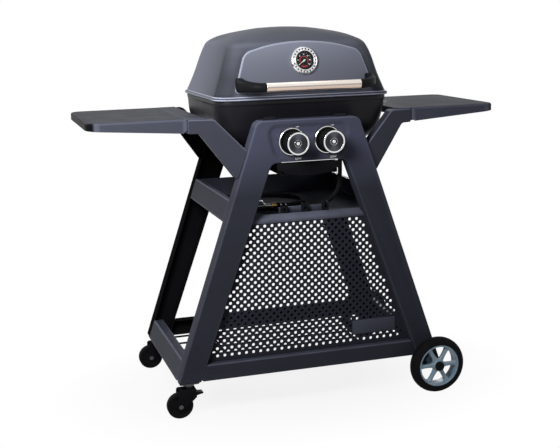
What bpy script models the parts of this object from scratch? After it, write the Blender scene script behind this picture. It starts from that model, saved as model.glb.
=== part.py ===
"""A two-burner gas barbecue on a wheeled cart, in metres, +Z up, with its front towards -Y."""

import math

import bmesh
import bpy
from mathutils import Quaternion, Vector

# Fits and sheet
CLEARANCE = 0.0003
SHEET = 0.0025
SMOOTH_ANGLE = math.radians(32)
ROUND_STEPS = 20
FILLET_STEPS = 3

# Cart frames: two pressed sheets with splayed legs
CART_DEPTH = 0.480
FRAME_TOP = 0.800
FRAME_FOOT = 0.100
FRAME_TOP_HALF = 0.144
FRAME_FOOT_HALF = 0.3835
LEG_TOP_WIDTH = 0.080
LEG_FOOT_WIDTH = 0.064
LEG_DEPTH = 0.042
PANEL_HEIGHT = 0.115
PANEL_ROUND = 0.024
OPENING_ROUND = 0.020
RECESS_DEPTH = 0.005
RECESS_MARGIN = 0.008
RECESS_SLOPE = 0.007
RECESS_SIDE = 0.019
FOOT_DROP = 0.042

# Shelf arms and folding shelves
ARM_RISE = 0.008
ARM_HEIGHT = 0.038
ARM_LEG_TOP_DROP = 0.0775
ARM_LEG_BOTTOM_DROP = 0.156
ARM_ELBOW_HIGH = 0.252
ARM_ELBOW_LOW = 0.289
ARM_SETBACK = 0.006
SHELF_SETBACK = 0.050
ARM_DEPTH = 0.036
SHELF_SEAM = 0.320
SHELF_GAP = 0.0015
SHELF_TONGUE = 0.045
SHELF_LENGTH = 0.262
SHELF_TIP_DEPTH = 0.020
SHELF_CORNER = 0.034
FOLD_ROUND = 0.010
FOLD_EYE = 0.006
FOLD_PIN = 0.003
FOLD_LUG = 0.004

# Rails, tray, rack and perforated panel
RAIL_HEIGHT = 0.057
RAIL_FLANGE = 0.026
CROSS_RAIL_HEIGHT = 0.046
CROSS_RAIL_DEPTH = 0.030
CROSS_RAIL_SETBACK = 0.004
TRAY_FLOOR = 0.5285
TRAY_HEIGHT = 0.0595
TRAY_LIP = 0.012
RACK_WIRE = 0.003
RACK_WIRES = 6
RACK_MARGIN = 0.030
RACK_TIE = 0.200
PERFORATED_SETBACK = 0.024
HOLE_RADIUS = 0.0125
HOLE_PITCH = 0.084
HOLE_ROW = 0.048
HOLE_MARGIN = 0.012
HOLE_SIDES = 6
TOOL_RAIL_HALF = 0.072
TOOL_RAIL_HEIGHT = 0.024
TOOL_RAIL_THICK = 0.003
TOOL_HOOK_SPACING = 0.060
TOOL_HOOK_WIDTH = 0.008
TOOL_HOOK_REACH = 0.010

# Wheels on the right
WHEEL_RADIUS = 0.081
AXLE_INSET = 0.028
AXLE_RADIUS = 0.005
AXLE_PLAY = 0.0004
WHEEL_WIDTH = 0.036
WHEEL_GAP = 0.021
HUB_RADIUS = 0.0605
HUB_BOSS = 0.015
HUB_RIM = 0.0065
HUB_WEB = 0.010
SPOKES = 6
SPOKE_WIDTH = 0.011
CAP_HEIGHT = 0.009
WHEEL_STEPS = 24

# Swivel casters on the left
CASTER_RADIUS = 0.036
CASTER_WIDTH = 0.024
CASTER_TRAIL = 0.026
CASTER_GAP = 0.002
FORK_CHEEK = 0.0025
FORK_TOP_GAP = 0.0045
FORK_CROWN = 0.006
FORK_HALF_LENGTH = 0.019
FORK_EYE = 0.009
CASTER_PIN = 0.004
CASTER_PLATE = 0.003
CASTER_PLATE_HALF = 0.027
CASTER_PLATE_DEPTH = 0.038
SWIVEL_RADIUS = 0.014
BRAKE_PIVOT_X = 0.0125
BRAKE_PIVOT_DROP = 0.012
BRAKE_REACH = 0.026
BRAKE_HALF = 0.010
BRAKE_THICK = 0.004
BRAKE_PIN = 0.0025

# Firebox
FIREBOX_RISE = 0.052
FIREBOX_MARGIN = 0.005
FIREBOX_ROUND = 0.046
FIREBOX_WALL = 0.005
LEDGE_DROP = 0.020
LEDGE_WIDTH = 0.010
LUG_X = 0.100
LUG_HALF = 0.016
LUG_HEIGHT = 0.006
LUG_SETBACK = 0.026
DRAIN_HALF = 0.022
POST_RADIUS = 0.006
HINGE_X = 0.150
HINGE_EYE = 0.009
HINGE_ROD = 0.003
HINGE_EAR = 0.006
HINGE_OUT = 0.018
HINGE_UP = 0.010

# Lid
LID_HALF = 0.248
LID_FRONT_SETBACK = 0.018
LID_BACK_SETBACK = 0.042
LID_ROUND = 0.050
LID_WALL = 0.003
LID_LIP = 0.009
LID_LIP_HEIGHT = 0.009
LID_HEIGHT = 0.188
LID_FRONT_LEAN = 0.203
LID_FACE_TOP = 0.150
SHIELD_RAISE = 0.005
SHIELD_BOTTOM = 0.018
SHIELD_BOTTOM_HALF = 0.195
SHIELD_TOP_HALF = 0.160
SHIELD_SHOULDER = 0.126
SHIELD_ROUND = 0.030

# Handle and thermometer
HANDLE_RADIUS = 0.011
HANDLE_HALF = 0.130
HANDLE_UP = 0.038
HANDLE_OUT = 0.067
HANDLE_ROOT_X = 0.182
HANDLE_ROOT_HALF_WIDTH = 0.012
HANDLE_ROOT_HALF_HEIGHT = 0.019
DIAL_UP = 0.099
BEZEL_RADIUS = 0.037
BEZEL_HEIGHT = 0.012
DIAL_RADIUS = 0.0245
DIAL_THICK = 0.0025
GLASS_THICK = 0.0015
NEEDLE_LENGTH = 0.017
NEEDLE_THICK = 0.001
NEEDLE_HALF = 0.0012
NEEDLE_REST = math.radians(125)

# Gas controls
KNOB_X = 0.050
KNOB_DROP = 0.058
KNOB_RADIUS = 0.031
KNOB_LENGTH = 0.0435
KNOB_PUSH = 0.005
KNOB_BEZEL_RADIUS = 0.0365
KNOB_BEZEL_HEIGHT = 0.0125
STEM_RADIUS = 0.0035
STEM_PLAY = 0.0004
STEM_IN_KNOB = 0.022
STEM_IN_VALVE = 0.016
VALVE_RADIUS = 0.010
VALVE_LENGTH = 0.054
PANEL_HOLE = 0.008
MANIFOLD_RADIUS = 0.008
MANIFOLD_DROP = 0.026
MANIFOLD_SETBACK = 0.044
MANIFOLD_LEFT = -0.072
HOSE_RADIUS = 0.006
HOSE_FITTING = 0.0085
HOSE_FITTING_LENGTH = 0.020

# Burners, grates and grease tray
BURNER_HALF_WIDTH = 0.075
BURNER_BAR = 0.030
BURNER_THICK = 0.018
BURNER_FRONT_GAP = 0.074
BURNER_BACK_GAP = 0.068
VENTURI_RADIUS = 0.011
VENTURI_MOUTH = 0.028
GRATE_THICK = 0.012
GRATE_SLOT = 0.014
GRATE_BAR = 0.010
GRATE_BORDER = 0.014
GRATE_PLAY = 0.0015
GRATE_END = 0.032
GREASE_HALF = 0.080
GREASE_LIP = 0.0105
GREASE_BACK_GAP = 0.098
GREASE_DEPTH = 0.026
GREASE_DROP = 0.0075
APRON_HALF = 0.090
APRON_DEPTH = 0.036
APRON_BOW = 0.016
APRON_SETBACK = 0.003
RUNNER_GAP = 0.093
RUNNER_FOOT = 0.0115

# Gas hose route, from the manifold fitting down to a loose loop on the tray
HOSE_ROUTE = (
    (0.1060, -0.1880, 0.6600), (0.1055, -0.1860, 0.6280), (0.1030, -0.1780, 0.5970),
    (0.0950, -0.1600, 0.5700), (0.0800, -0.1380, 0.5510), (0.0580, -0.1190, 0.5410),
    (0.0280, -0.1130, 0.5380), (-0.0066, -0.1180, 0.5375), (-0.0746, -0.1075, 0.5375),
    (-0.1264, -0.0659, 0.5375), (-0.1494, -0.0060, 0.5375), (-0.1395, 0.0549, 0.5375),
    (-0.1019, 0.1007, 0.5375), (-0.0486, 0.1207, 0.5375), (0.0051, 0.1115, 0.5375),
    (0.0451, 0.0781, 0.5375), (0.0621, 0.0312, 0.5375), (0.0535, -0.0154, 0.5375),
    (0.0241, -0.0495, 0.5375), (-0.0162, -0.0634, 0.5375), (-0.0557, -0.0555, 0.5375),
)
HOSE_PIECES = 2
REGULATOR_RADIUS = 0.027
REGULATOR_HEIGHT = 0.022
REGULATOR_NECK = 0.006
REGULATOR_NECK_LENGTH = 0.014


def mix(start, end, share):
    return start + (end - start) * share


def leg_share(z):
    return (FRAME_TOP - z) / (FRAME_TOP - FRAME_FOOT)


def leg_outer(z):
    """Half the width of the cart across the outer edges of the legs at this height."""
    return mix(FRAME_TOP_HALF, FRAME_FOOT_HALF, leg_share(z))


def leg_inner(z):
    return leg_outer(z) - mix(LEG_TOP_WIDTH, LEG_FOOT_WIDTH, leg_share(z))


# Places worked out from the sizes above
FRONT = -CART_DEPTH / 2
RIM = CART_DEPTH / 2 - LEG_DEPTH
AXLE_X = leg_outer(WHEEL_RADIUS) - AXLE_INSET
LID_FRONT = FRONT + LID_FRONT_SETBACK
LID_BACK = -FRONT - LID_BACK_SETBACK
PANEL_BOTTOM = FRAME_TOP - PANEL_HEIGHT
AXLE_FOOT = FRAME_FOOT - FOOT_DROP
ARM_TOP = FRAME_TOP + ARM_RISE
ARM_BOTTOM = ARM_TOP - ARM_HEIGHT
ARM_LEG_TOP = FRAME_TOP - ARM_LEG_TOP_DROP
ARM_LEG_BOTTOM = FRAME_TOP - ARM_LEG_BOTTOM_DROP
SHELF_TOP = ARM_TOP + CLEARANCE + SHEET
SHELF_START = SHELF_SEAM + SHELF_GAP
SHELF_TIP = SHELF_START + SHELF_LENGTH
SHELF_HALF_DEPTH = CART_DEPTH / 2 - SHELF_SETBACK
FOLD_X = SHELF_START + FOLD_ROUND
FOLD_Z = ARM_BOTTOM + FOLD_ROUND
RAIL_TOP = FRAME_FOOT + RAIL_HEIGHT
FIREBOX_TOP = FRAME_TOP + FIREBOX_RISE
FIREBOX_HALF = LID_HALF - FIREBOX_MARGIN
FIREBOX_FRONT = LID_FRONT + FIREBOX_MARGIN
FIREBOX_BACK = LID_BACK - FIREBOX_MARGIN
BURNER_FRONT = FIREBOX_FRONT + BURNER_FRONT_GAP
BURNER_BACK = FIREBOX_BACK - BURNER_BACK_GAP
GREASE_BACK = FIREBOX_BACK - GREASE_BACK_GAP
RUNNER_FRONT = FIREBOX_FRONT + RUNNER_GAP
RUNNER_BACK = FIREBOX_BACK - RUNNER_GAP
LID_BOTTOM = FIREBOX_TOP + CLEARANCE
HINGE_Y = LID_BACK + HINGE_OUT
HINGE_Z = LID_BOTTOM + HINGE_UP
LEDGE_Z = FIREBOX_TOP - LEDGE_DROP
KNOB_Z = FRAME_TOP - KNOB_DROP
RECESS_FLOOR = FRONT + RECESS_DEPTH
VALVE_FRONT = RECESS_FLOOR + SHEET + CLEARANCE
BEZEL_FRONT = RECESS_FLOOR - CLEARANCE - KNOB_BEZEL_HEIGHT
KNOB_BACK = BEZEL_FRONT - KNOB_PUSH - 0.001
MANIFOLD_Y = VALVE_FRONT + MANIFOLD_SETBACK
MANIFOLD_Z = KNOB_Z - MANIFOLD_DROP
MANIFOLD_RIGHT = HOSE_ROUTE[0][0]
BURNER_X = KNOB_X - BURNER_BAR / 2 + BURNER_HALF_WIDTH
GREASE_TOP = PANEL_BOTTOM - GREASE_DROP
CASTER_X = (FRAME_FOOT_HALF - LEG_FOOT_WIDTH / 2) * -1
CASTER_Y = CART_DEPTH / 2 - LEG_DEPTH / 2
PLATE_TOP = FRAME_FOOT - CLEARANCE
FORK_INNER = CASTER_WIDTH / 2 + CASTER_GAP
FORK_BOTTOM = 2 * CASTER_RADIUS + FORK_TOP_GAP
DIAL_TILT = math.atan(LID_FRONT_LEAN)

# Firebox and lid sections as (height from the rim, inset at the sides, inset at front and back)
FIREBOX_OUTSIDE = (
    (0.000, 0.000, 0.000), (0.010, 0.000, 0.000), (0.013, 0.005, 0.004), (0.052, 0.011, 0.022),
    (0.095, 0.026, 0.038), (0.120, 0.046, 0.058), (0.134, 0.080, 0.090),
)
LID_ROOF = (
    (0.160, 0.062, 0.058), (0.169, 0.090, 0.085), (0.178, 0.130, 0.122), (0.185, 0.180, 0.165),
)
LID_SIDES = ((0.012, 0.006), (0.060, 0.0115), (0.105, 0.023), (0.132, 0.034), (0.148, 0.044))

# Colour, roughness and metallic value of each finish
FINISHES = {
    "graphite sheet": ((0.050, 0.053, 0.064), 0.42, 0.35),
    "black sheet": ((0.020, 0.020, 0.023), 0.50, 0.20),
    "gunmetal casting": ((0.125, 0.130, 0.142), 0.38, 0.60),
    "black casting": ((0.018, 0.018, 0.020), 0.42, 0.20),
    "stainless tube": ((0.620, 0.600, 0.570), 0.26, 1.00),
    "bright chrome": ((0.720, 0.720, 0.730), 0.12, 1.00),
    "black plastic": ((0.016, 0.016, 0.018), 0.50, 0.00),
    "tyre rubber": ((0.014, 0.014, 0.015), 0.80, 0.00),
    "blue grey hub": ((0.190, 0.250, 0.300), 0.45, 0.10),
    "cast iron": ((0.022, 0.021, 0.020), 0.65, 0.50),
    "plain steel": ((0.420, 0.420, 0.430), 0.35, 1.00),
    "brass": ((0.600, 0.430, 0.160), 0.35, 1.00),
    "dial face": ((0.010, 0.010, 0.011), 0.45, 0.00),
    "needle white": ((0.850, 0.840, 0.820), 0.45, 0.00),
    "clear glass": ((0.900, 0.920, 0.930), 0.05, 0.00),
}


def finish_material(name, finish):
    colour, roughness, metallic = FINISHES[finish]
    material = bpy.data.materials.new(name)
    material.use_nodes = True
    shader = material.node_tree.nodes["Principled BSDF"]
    shader.inputs["Base Color"].default_value = (*colour, 1.0)
    shader.inputs["Roughness"].default_value = roughness
    shader.inputs["Metallic"].default_value = metallic
    material.diffuse_color = (*colour, 1.0)
    return material


def link_mesh(name, bm, pivot):
    bmesh.ops.recalc_face_normals(bm, faces=bm.faces)
    bmesh.ops.translate(bm, verts=bm.verts, vec=-Vector(pivot))
    mesh = bpy.data.meshes.new(name)
    bm.to_mesh(mesh)
    bm.free()
    thing = bpy.data.objects.new(name, mesh)
    thing.location = pivot
    bpy.context.collection.objects.link(thing)
    return thing


def add_piece(name, bm, finish, pivot=(0, 0, 0)):
    """A named piece from a mesh built in place, with its origin at the pivot."""
    piece = link_mesh(name, bm, pivot)
    piece.data.shade_smooth()
    piece.data.set_sharp_from_angle(angle=SMOOTH_ANGLE)
    piece.data.materials.append(finish_material(name, finish))
    return piece


def shape_with(piece, operation, bm):
    """A Boolean on the piece, with a hidden tool shape built in place."""
    tool = link_mesh(f"{piece.name}_tool_{len(piece.modifiers)}", bm, (0, 0, 0))
    tool.hide_render = True
    tool.display_type = "WIRE"
    boolean = piece.modifiers.new(tool.name, "BOOLEAN")
    boolean.operation = operation
    boolean.solver = "EXACT"
    boolean.object = tool


def fuse(piece, bm):
    shape_with(piece, "UNION", bm)


def cut(piece, bm):
    shape_with(piece, "DIFFERENCE", bm)


def counter_clockwise(points):
    area = 0.0
    for index, point in enumerate(points):
        before = points[index - 1]
        area += before.x * point.y - point.x * before.y
    return points if area > 0 else points[::-1]


def filleted(corners, steps=FILLET_STEPS):
    """Closed outline through (u, v, radius) corners, each rounded by its radius."""
    points = []
    count = len(corners)
    for index, (u, v, radius) in enumerate(corners):
        corner = Vector((u, v))
        if radius <= 0:
            points.append(corner)
            continue
        before = (Vector(corners[index - 1][:2]) - corner).normalized()
        after = (Vector(corners[(index + 1) % count][:2]) - corner).normalized()
        half_angle = before.angle(after) / 2
        reach = radius / math.tan(half_angle)
        centre = corner + (before + after).normalized() * (radius / math.sin(half_angle))
        first = corner + before * reach - centre
        last = corner + after * reach - centre
        sweep = first.angle(last)
        for step in range(steps + 1):
            share = step / steps
            spoke = first * math.sin((1 - share) * sweep) + last * math.sin(share * sweep)
            points.append(centre + spoke / math.sin(sweep))
    return counter_clockwise(points)


def offset_inward(points, distance):
    """The closed counter-clockwise outline moved towards its inside."""
    moved = []
    count = len(points)
    for index, point in enumerate(points):
        before = (point - points[index - 1]).normalized()
        after = (points[(index + 1) % count] - point).normalized()
        normal_before = Vector((-before.y, before.x))
        normal_after = Vector((-after.y, after.x))
        mitre = (normal_before + normal_after) / (1 + normal_before.dot(normal_after))
        moved.append(point + mitre * distance)
    return moved


def round_outline(centre_u, centre_v, radius, steps=ROUND_STEPS, start=0.0):
    points = []
    for step in range(steps):
        angle = start + 2 * math.pi * step / steps
        points.append(Vector((centre_u + radius * math.cos(angle), centre_v + radius * math.sin(angle))))
    return points


def box_outline(low_u, low_v, high_u, high_v):
    corners = ((low_u, low_v), (high_u, low_v), (high_u, high_v), (low_u, high_v))
    return [Vector(corner) for corner in corners]


def across_y(y):
    """Places a (u, v) outline point as (x, y, z) on a plane across Y."""
    return lambda point: (point.x, y, point.y)


def across_x(x):
    return lambda point: (x, point.x, point.y)


def across_z(z):
    return lambda point: (point.x, point.y, z)


def add_loop(bm, points, place):
    return [bm.verts.new(place(point)) for point in points]


def bridge(bm, first, second):
    """Side faces between two loops, either of which may be a single point."""
    count = max(len(first), len(second))
    for index in range(count):
        following = (index + 1) % count
        if len(first) == 1:
            bm.faces.new((first[0], second[index], second[following]))
        elif len(second) == 1:
            bm.faces.new((first[index], first[following], second[0]))
        else:
            bm.faces.new((first[index], first[following], second[following], second[index]))


def fill(bm, loops):
    """Faces over the first loop, leaving the other loops open as holes."""
    if len(loops) == 1:
        bm.faces.new(loops[0])
        return
    edges = []
    for loop in loops:
        for index, vertex in enumerate(loop):
            pair = (loop[index - 1], vertex)
            edges.append(bm.edges.get(pair) or bm.edges.new(pair))
    bmesh.ops.triangle_fill(bm, use_beauty=True, edges=edges)


def loft(bm, loops, closed=False):
    """A skin over the loops in order, with its ends filled or joined."""
    for first, second in zip(loops, loops[1:]):
        bridge(bm, first, second)
    if closed:
        bridge(bm, loops[-1], loops[0])
        return
    for end in (loops[0], loops[-1]):
        if len(end) > 1:
            bm.faces.new(end)


def add_plate(bm, outlines, place_low, place_high):
    """A flat plate between two planes; outlines after the first are holes."""
    low = [add_loop(bm, points, place_low) for points in outlines]
    high = [add_loop(bm, points, place_high) for points in outlines]
    for first, second in zip(low, high):
        bridge(bm, first, second)
    fill(bm, low)
    fill(bm, high)


def plate(outlines, place_low, place_high):
    bm = bmesh.new()
    add_plate(bm, outlines, place_low, place_high)
    return bm


def add_block(bm, low, high):
    outline = box_outline(low[0], low[1], high[0], high[1])
    add_plate(bm, [outline], across_z(low[2]), across_z(high[2]))


def add_turned(bm, profile, centre, axis, steps=ROUND_STEPS, closed=False):
    """A profile of (radius, height) points turned about the axis through the centre."""
    turn = Vector(axis).to_track_quat("Z", "Y")
    loops = []
    for radius, height in profile:
        if radius == 0:
            loops.append([bm.verts.new(Vector(centre) + turn @ Vector((0, 0, height)))])
            continue
        circle = round_outline(0, 0, radius, steps)
        loops.append([bm.verts.new(Vector(centre) + turn @ Vector((p.x, p.y, height))) for p in circle])
    loft(bm, loops, closed)


def turned(profile, centre, axis, steps=ROUND_STEPS, closed=False):
    bm = bmesh.new()
    add_turned(bm, profile, centre, axis, steps, closed)
    return bm


def rod(start, end, radius, steps=12):
    """A plain round bar between two points."""
    span = Vector(end) - Vector(start)
    return turned(((radius, 0.0), (radius, span.length)), start, span, steps)


def pressed_sheet(outline, face, inward, depth, recess=None):
    """A sheet with its edge turned back all round: face(x) gives its Y, inward the way the edge turns."""
    bm = bmesh.new()
    inner = offset_inward(outline, SHEET)
    layers = ((outline, 0.0), (outline, depth), (inner, depth), (inner, SHEET))
    loops = []
    for points, back in layers:
        loops.append([bm.verts.new((p.x, face(p.x) + inward * back, p.y)) for p in points])
    for first, second in zip(loops, loops[1:]):
        bridge(bm, first, second)
    for loop, back in ((loops[0], 0.0), (loops[3], SHEET)):
        if recess is None:
            fill(bm, [loop])
            continue
        rim, floor = recess
        rim_loop = add_loop(bm, rim, lambda p: (p.x, face(p.x) + inward * back, p.y))
        floor_loop = add_loop(bm, floor, lambda p: (p.x, face(p.x) + inward * (back + RECESS_DEPTH), p.y))
        fill(bm, [loop, rim_loop])
        bridge(bm, rim_loop, floor_loop)
        fill(bm, [floor_loop])
    return bm


def frame_outline():
    return filleted((
        (-leg_outer(FRAME_FOOT), FRAME_FOOT, 0),
        (-leg_inner(FRAME_FOOT), FRAME_FOOT, 0),
        (-leg_inner(PANEL_BOTTOM), PANEL_BOTTOM, OPENING_ROUND),
        (leg_inner(PANEL_BOTTOM), PANEL_BOTTOM, OPENING_ROUND),
        (leg_inner(AXLE_FOOT), AXLE_FOOT, 0),
        (leg_outer(AXLE_FOOT), AXLE_FOOT, 0),
        (FRAME_TOP_HALF, FRAME_TOP, PANEL_ROUND),
        (-FRAME_TOP_HALF, FRAME_TOP, PANEL_ROUND),
    ))


def panel_recess():
    """The rim and the floor outline of the shallow recess behind the knobs."""
    top = FRAME_TOP - RECESS_MARGIN
    bottom = PANEL_BOTTOM + RECESS_MARGIN
    top_half = leg_outer(top) - RECESS_SIDE
    bottom_half = leg_inner(PANEL_BOTTOM) - RECESS_MARGIN / 2
    rim = filleted((
        (-bottom_half, bottom, 0), (bottom_half, bottom, 0),
        (top_half, top, 2 * RECESS_MARGIN), (-top_half, top, 2 * RECESS_MARGIN),
    ))
    return rim, offset_inward(rim, RECESS_SLOPE)


def axle_hole(y_low, y_high):
    return rod((AXLE_X, y_low, WHEEL_RADIUS), (AXLE_X, y_high, WHEEL_RADIUS), AXLE_RADIUS + CLEARANCE, 12)


def build_frames():
    front = pressed_sheet(frame_outline(), lambda x: FRONT, 1, LEG_DEPTH, panel_recess())
    front = add_piece("front_frame", front, "graphite sheet")
    for side in (-1, 1):
        start = (side * KNOB_X, FRONT - SHEET, KNOB_Z)
        end = (side * KNOB_X, RECESS_FLOOR + 2 * SHEET, KNOB_Z)
        cut(front, rod(start, end, PANEL_HOLE, 16))
    cut(front, axle_hole(FRONT - SHEET, FRONT + 2 * SHEET))
    rear = pressed_sheet(frame_outline(), lambda x: -FRONT, -1, LEG_DEPTH)
    rear = add_piece("rear_frame", rear, "black sheet")
    cut(rear, axle_hole(-FRONT - 2 * SHEET, -FRONT + SHEET))


def arm_face(x):
    """Distance of an arm's face from the middle of the cart: it runs in from the leg to the shelf."""
    leg = leg_outer(ARM_LEG_TOP)
    share = (abs(x) - leg) / (SHELF_SEAM - leg)
    return CART_DEPTH / 2 - mix(ARM_SETBACK, SHELF_SETBACK, share)


def arm_outline(side):
    corners = (
        (leg_outer(ARM_LEG_TOP) + CLEARANCE, ARM_LEG_TOP, 0),
        (leg_outer(ARM_LEG_BOTTOM) + CLEARANCE, ARM_LEG_BOTTOM, 0),
        (ARM_ELBOW_LOW, ARM_BOTTOM, 0.010),
        (SHELF_SEAM, ARM_BOTTOM, 0),
        (SHELF_SEAM, ARM_TOP, 0),
        (ARM_ELBOW_HIGH, ARM_TOP, 0.010),
    )
    return filleted([(side * x, z, radius) for x, z, radius in corners])


def fold_eye(side):
    """Outline of the hinge eye that an arm's end reaches out under the shelf."""
    low = FOLD_Z - FOLD_EYE
    neck = FOLD_Z - 2 * CLEARANCE
    points = [Vector((side * (SHELF_SEAM - SHEET / 2), low)), Vector((side * FOLD_X, low))]
    for step in range(1, 9):
        angle = -math.pi / 2 + step * math.pi * 3 / 16
        u = FOLD_X + FOLD_EYE * math.cos(angle)
        points.append(Vector((side * u, FOLD_Z + FOLD_EYE * math.sin(angle))))
    points.append(Vector((side * (FOLD_X - FOLD_EYE), neck)))
    points.append(Vector((side * (SHELF_SEAM - SHEET / 2), neck)))
    return points


def build_arm(name, side, end):
    """One shelf arm; end is -1 at the front and 1 at the rear."""
    arm = pressed_sheet(arm_outline(side), lambda x: end * arm_face(x), -end, ARM_DEPTH)
    arm = add_piece(name, arm, "graphite sheet" if end < 0 else "black sheet")
    outer = end * (SHELF_HALF_DEPTH - SHEET - 2 * FOLD_LUG)
    inner = outer - end * FOLD_LUG
    fuse(arm, plate([fold_eye(side)], across_y(outer), across_y(inner)))
    pin_tip = inner - end * (FOLD_LUG + 2 * CLEARANCE)
    middle = (outer + inner) / 2
    fuse(arm, rod((side * FOLD_X, middle, FOLD_Z), (side * FOLD_X, pin_tip, FOLD_Z), FOLD_PIN))
    return inner


def shelf_skirt(x):
    """Height of the shelf skirt's lower edge: cut away by the fold, then rising to the tip."""
    past = abs(x) - SHELF_START
    if past < FOLD_ROUND:
        return FOLD_Z - max(past - SHEET, 0.0)
    share = (past - FOLD_ROUND) / (SHELF_LENGTH - FOLD_ROUND)
    return mix(ARM_BOTTOM, SHELF_TOP - SHELF_TIP_DEPTH, share)


def shelf_outline(side):
    half = SHELF_HALF_DEPTH
    corners = (
        (SHELF_START, -half, 0), (SHELF_START + FOLD_ROUND, -half, 0), (SHELF_TIP, -half, SHELF_CORNER),
        (SHELF_TIP, half, SHELF_CORNER), (SHELF_START + FOLD_ROUND, half, 0), (SHELF_START, half, 0),
    )
    return filleted([(side * x, y, radius) for x, y, radius in corners])


def build_shelf(name, side, lug_face):
    outline = shelf_outline(side)
    inner = offset_inward(outline, SHEET)
    bm = bmesh.new()
    loops = (
        add_loop(bm, outline, across_z(SHELF_TOP)),
        add_loop(bm, outline, lambda p: (p.x, p.y, shelf_skirt(p.x))),
        add_loop(bm, inner, lambda p: (p.x, p.y, shelf_skirt(p.x))),
        add_loop(bm, inner, across_z(SHELF_TOP - SHEET)),
    )
    loft(bm, loops)
    shelf = add_piece(name, bm, "graphite sheet", (side * FOLD_X, 0, FOLD_Z))
    tongue_end = side * (SHELF_SEAM - SHELF_TONGUE)
    tongue = box_outline(tongue_end, -SHELF_HALF_DEPTH, side * FOLD_X, SHELF_HALF_DEPTH)
    fuse(shelf, plate([tongue], across_z(SHELF_TOP - SHEET), across_z(SHELF_TOP)))
    for end in (-1, 1):
        near = -end * (lug_face + CLEARANCE)
        far = near - end * FOLD_LUG
        low = FOLD_Z - FOLD_EYE
        root = SHELF_TOP - SHEET / 2
        lug = [
            (side * (FOLD_X - FOLD_EYE), FOLD_Z, 0), (side * (FOLD_X - FOLD_EYE), low, FOLD_EYE * 0.9),
            (side * (FOLD_X + FOLD_EYE), low, FOLD_EYE * 0.9), (side * (FOLD_X + 2 * FOLD_EYE), root, 0),
            (side * (FOLD_X - FOLD_EYE), root, 0),
        ]
        hole = round_outline(side * FOLD_X, FOLD_Z, FOLD_PIN + CLEARANCE, 12)
        fuse(shelf, plate([filleted(lug), hole], across_y(near), across_y(far)))


def build_shelves():
    for side, word in ((-1, "left"), (1, "right")):
        build_arm(f"arm_rear_{word}", side, 1)
        lug_face = build_arm(f"arm_front_{word}", side, -1)
        build_shelf(f"shelf_{word}", side, lug_face)


def rail_outline(side):
    """A C-section rail that follows the slope of the legs."""
    low = FRAME_FOOT
    high = RAIL_TOP
    outer_low = leg_outer(low)
    outer_high = leg_outer(high)
    points = (
        (outer_low - RAIL_FLANGE, low), (outer_low, low),
        (outer_high, high), (outer_high - RAIL_FLANGE, high),
        (outer_high - RAIL_FLANGE, high - SHEET), (leg_outer(high - SHEET) - SHEET, high - SHEET),
        (leg_outer(low + SHEET) - SHEET, low + SHEET), (outer_low - RAIL_FLANGE, low + SHEET),
    )
    return counter_clockwise([Vector((side * x, z)) for x, z in points])


def build_rails():
    reach = RIM - CLEARANCE
    for side, word in ((-1, "left"), (1, "right")):
        rail = plate([rail_outline(side)], across_y(-reach), across_y(reach))
        add_piece(f"bottom_rail_{word}", rail, "graphite sheet")
    top = FRAME_FOOT + CROSS_RAIL_HEIGHT
    low_half = leg_inner(FRAME_FOOT) - CLEARANCE
    top_half = leg_inner(top) - CLEARANCE
    outline = filleted((
        (-low_half, FRAME_FOOT, 0), (low_half, FRAME_FOOT, 0), (top_half, top, 0), (-top_half, top, 0),
    ))
    for end, word in ((-1, "front"), (1, "rear")):
        face = end * (CART_DEPTH / 2 - CROSS_RAIL_SETBACK)
        rail = pressed_sheet(outline, lambda x: face, -end, CROSS_RAIL_DEPTH)
        add_piece(f"bottom_rail_{word}", rail, "graphite sheet" if end < 0 else "black sheet")


def tray_outline():
    """Section of the mid tray: a floor, two sloping sides and a lip turned in along each."""
    low = TRAY_FLOOR
    high = TRAY_FLOOR + TRAY_HEIGHT
    right = (
        (leg_outer(low), low), (leg_outer(high), high), (leg_outer(high) - TRAY_LIP, high),
        (leg_outer(high) - TRAY_LIP, high - SHEET), (leg_outer(high - SHEET) - SHEET, high - SHEET),
        (leg_outer(low + SHEET) - SHEET, low + SHEET),
    )
    left = [(-x, z) for x, z in reversed(right)]
    return [Vector(point) for point in (*right, *left)]


def build_tray():
    reach = RIM - CLEARANCE
    tray = plate([tray_outline()], across_y(-reach), across_y(reach))
    tray = add_piece("mid_tray", tray, "graphite sheet")
    low = TRAY_FLOOR + SHEET / 2
    high = TRAY_FLOOR + TRAY_HEIGHT - SHEET / 2
    wall = [
        Vector((-leg_outer(low) + SHEET / 2, low)), Vector((leg_outer(low) - SHEET / 2, low)),
        Vector((leg_outer(high) - SHEET / 2, high)), Vector((-leg_outer(high) + SHEET / 2, high)),
    ]
    fuse(tray, plate([wall], across_y(reach - SHEET), across_y(reach - CLEARANCE)))


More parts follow.
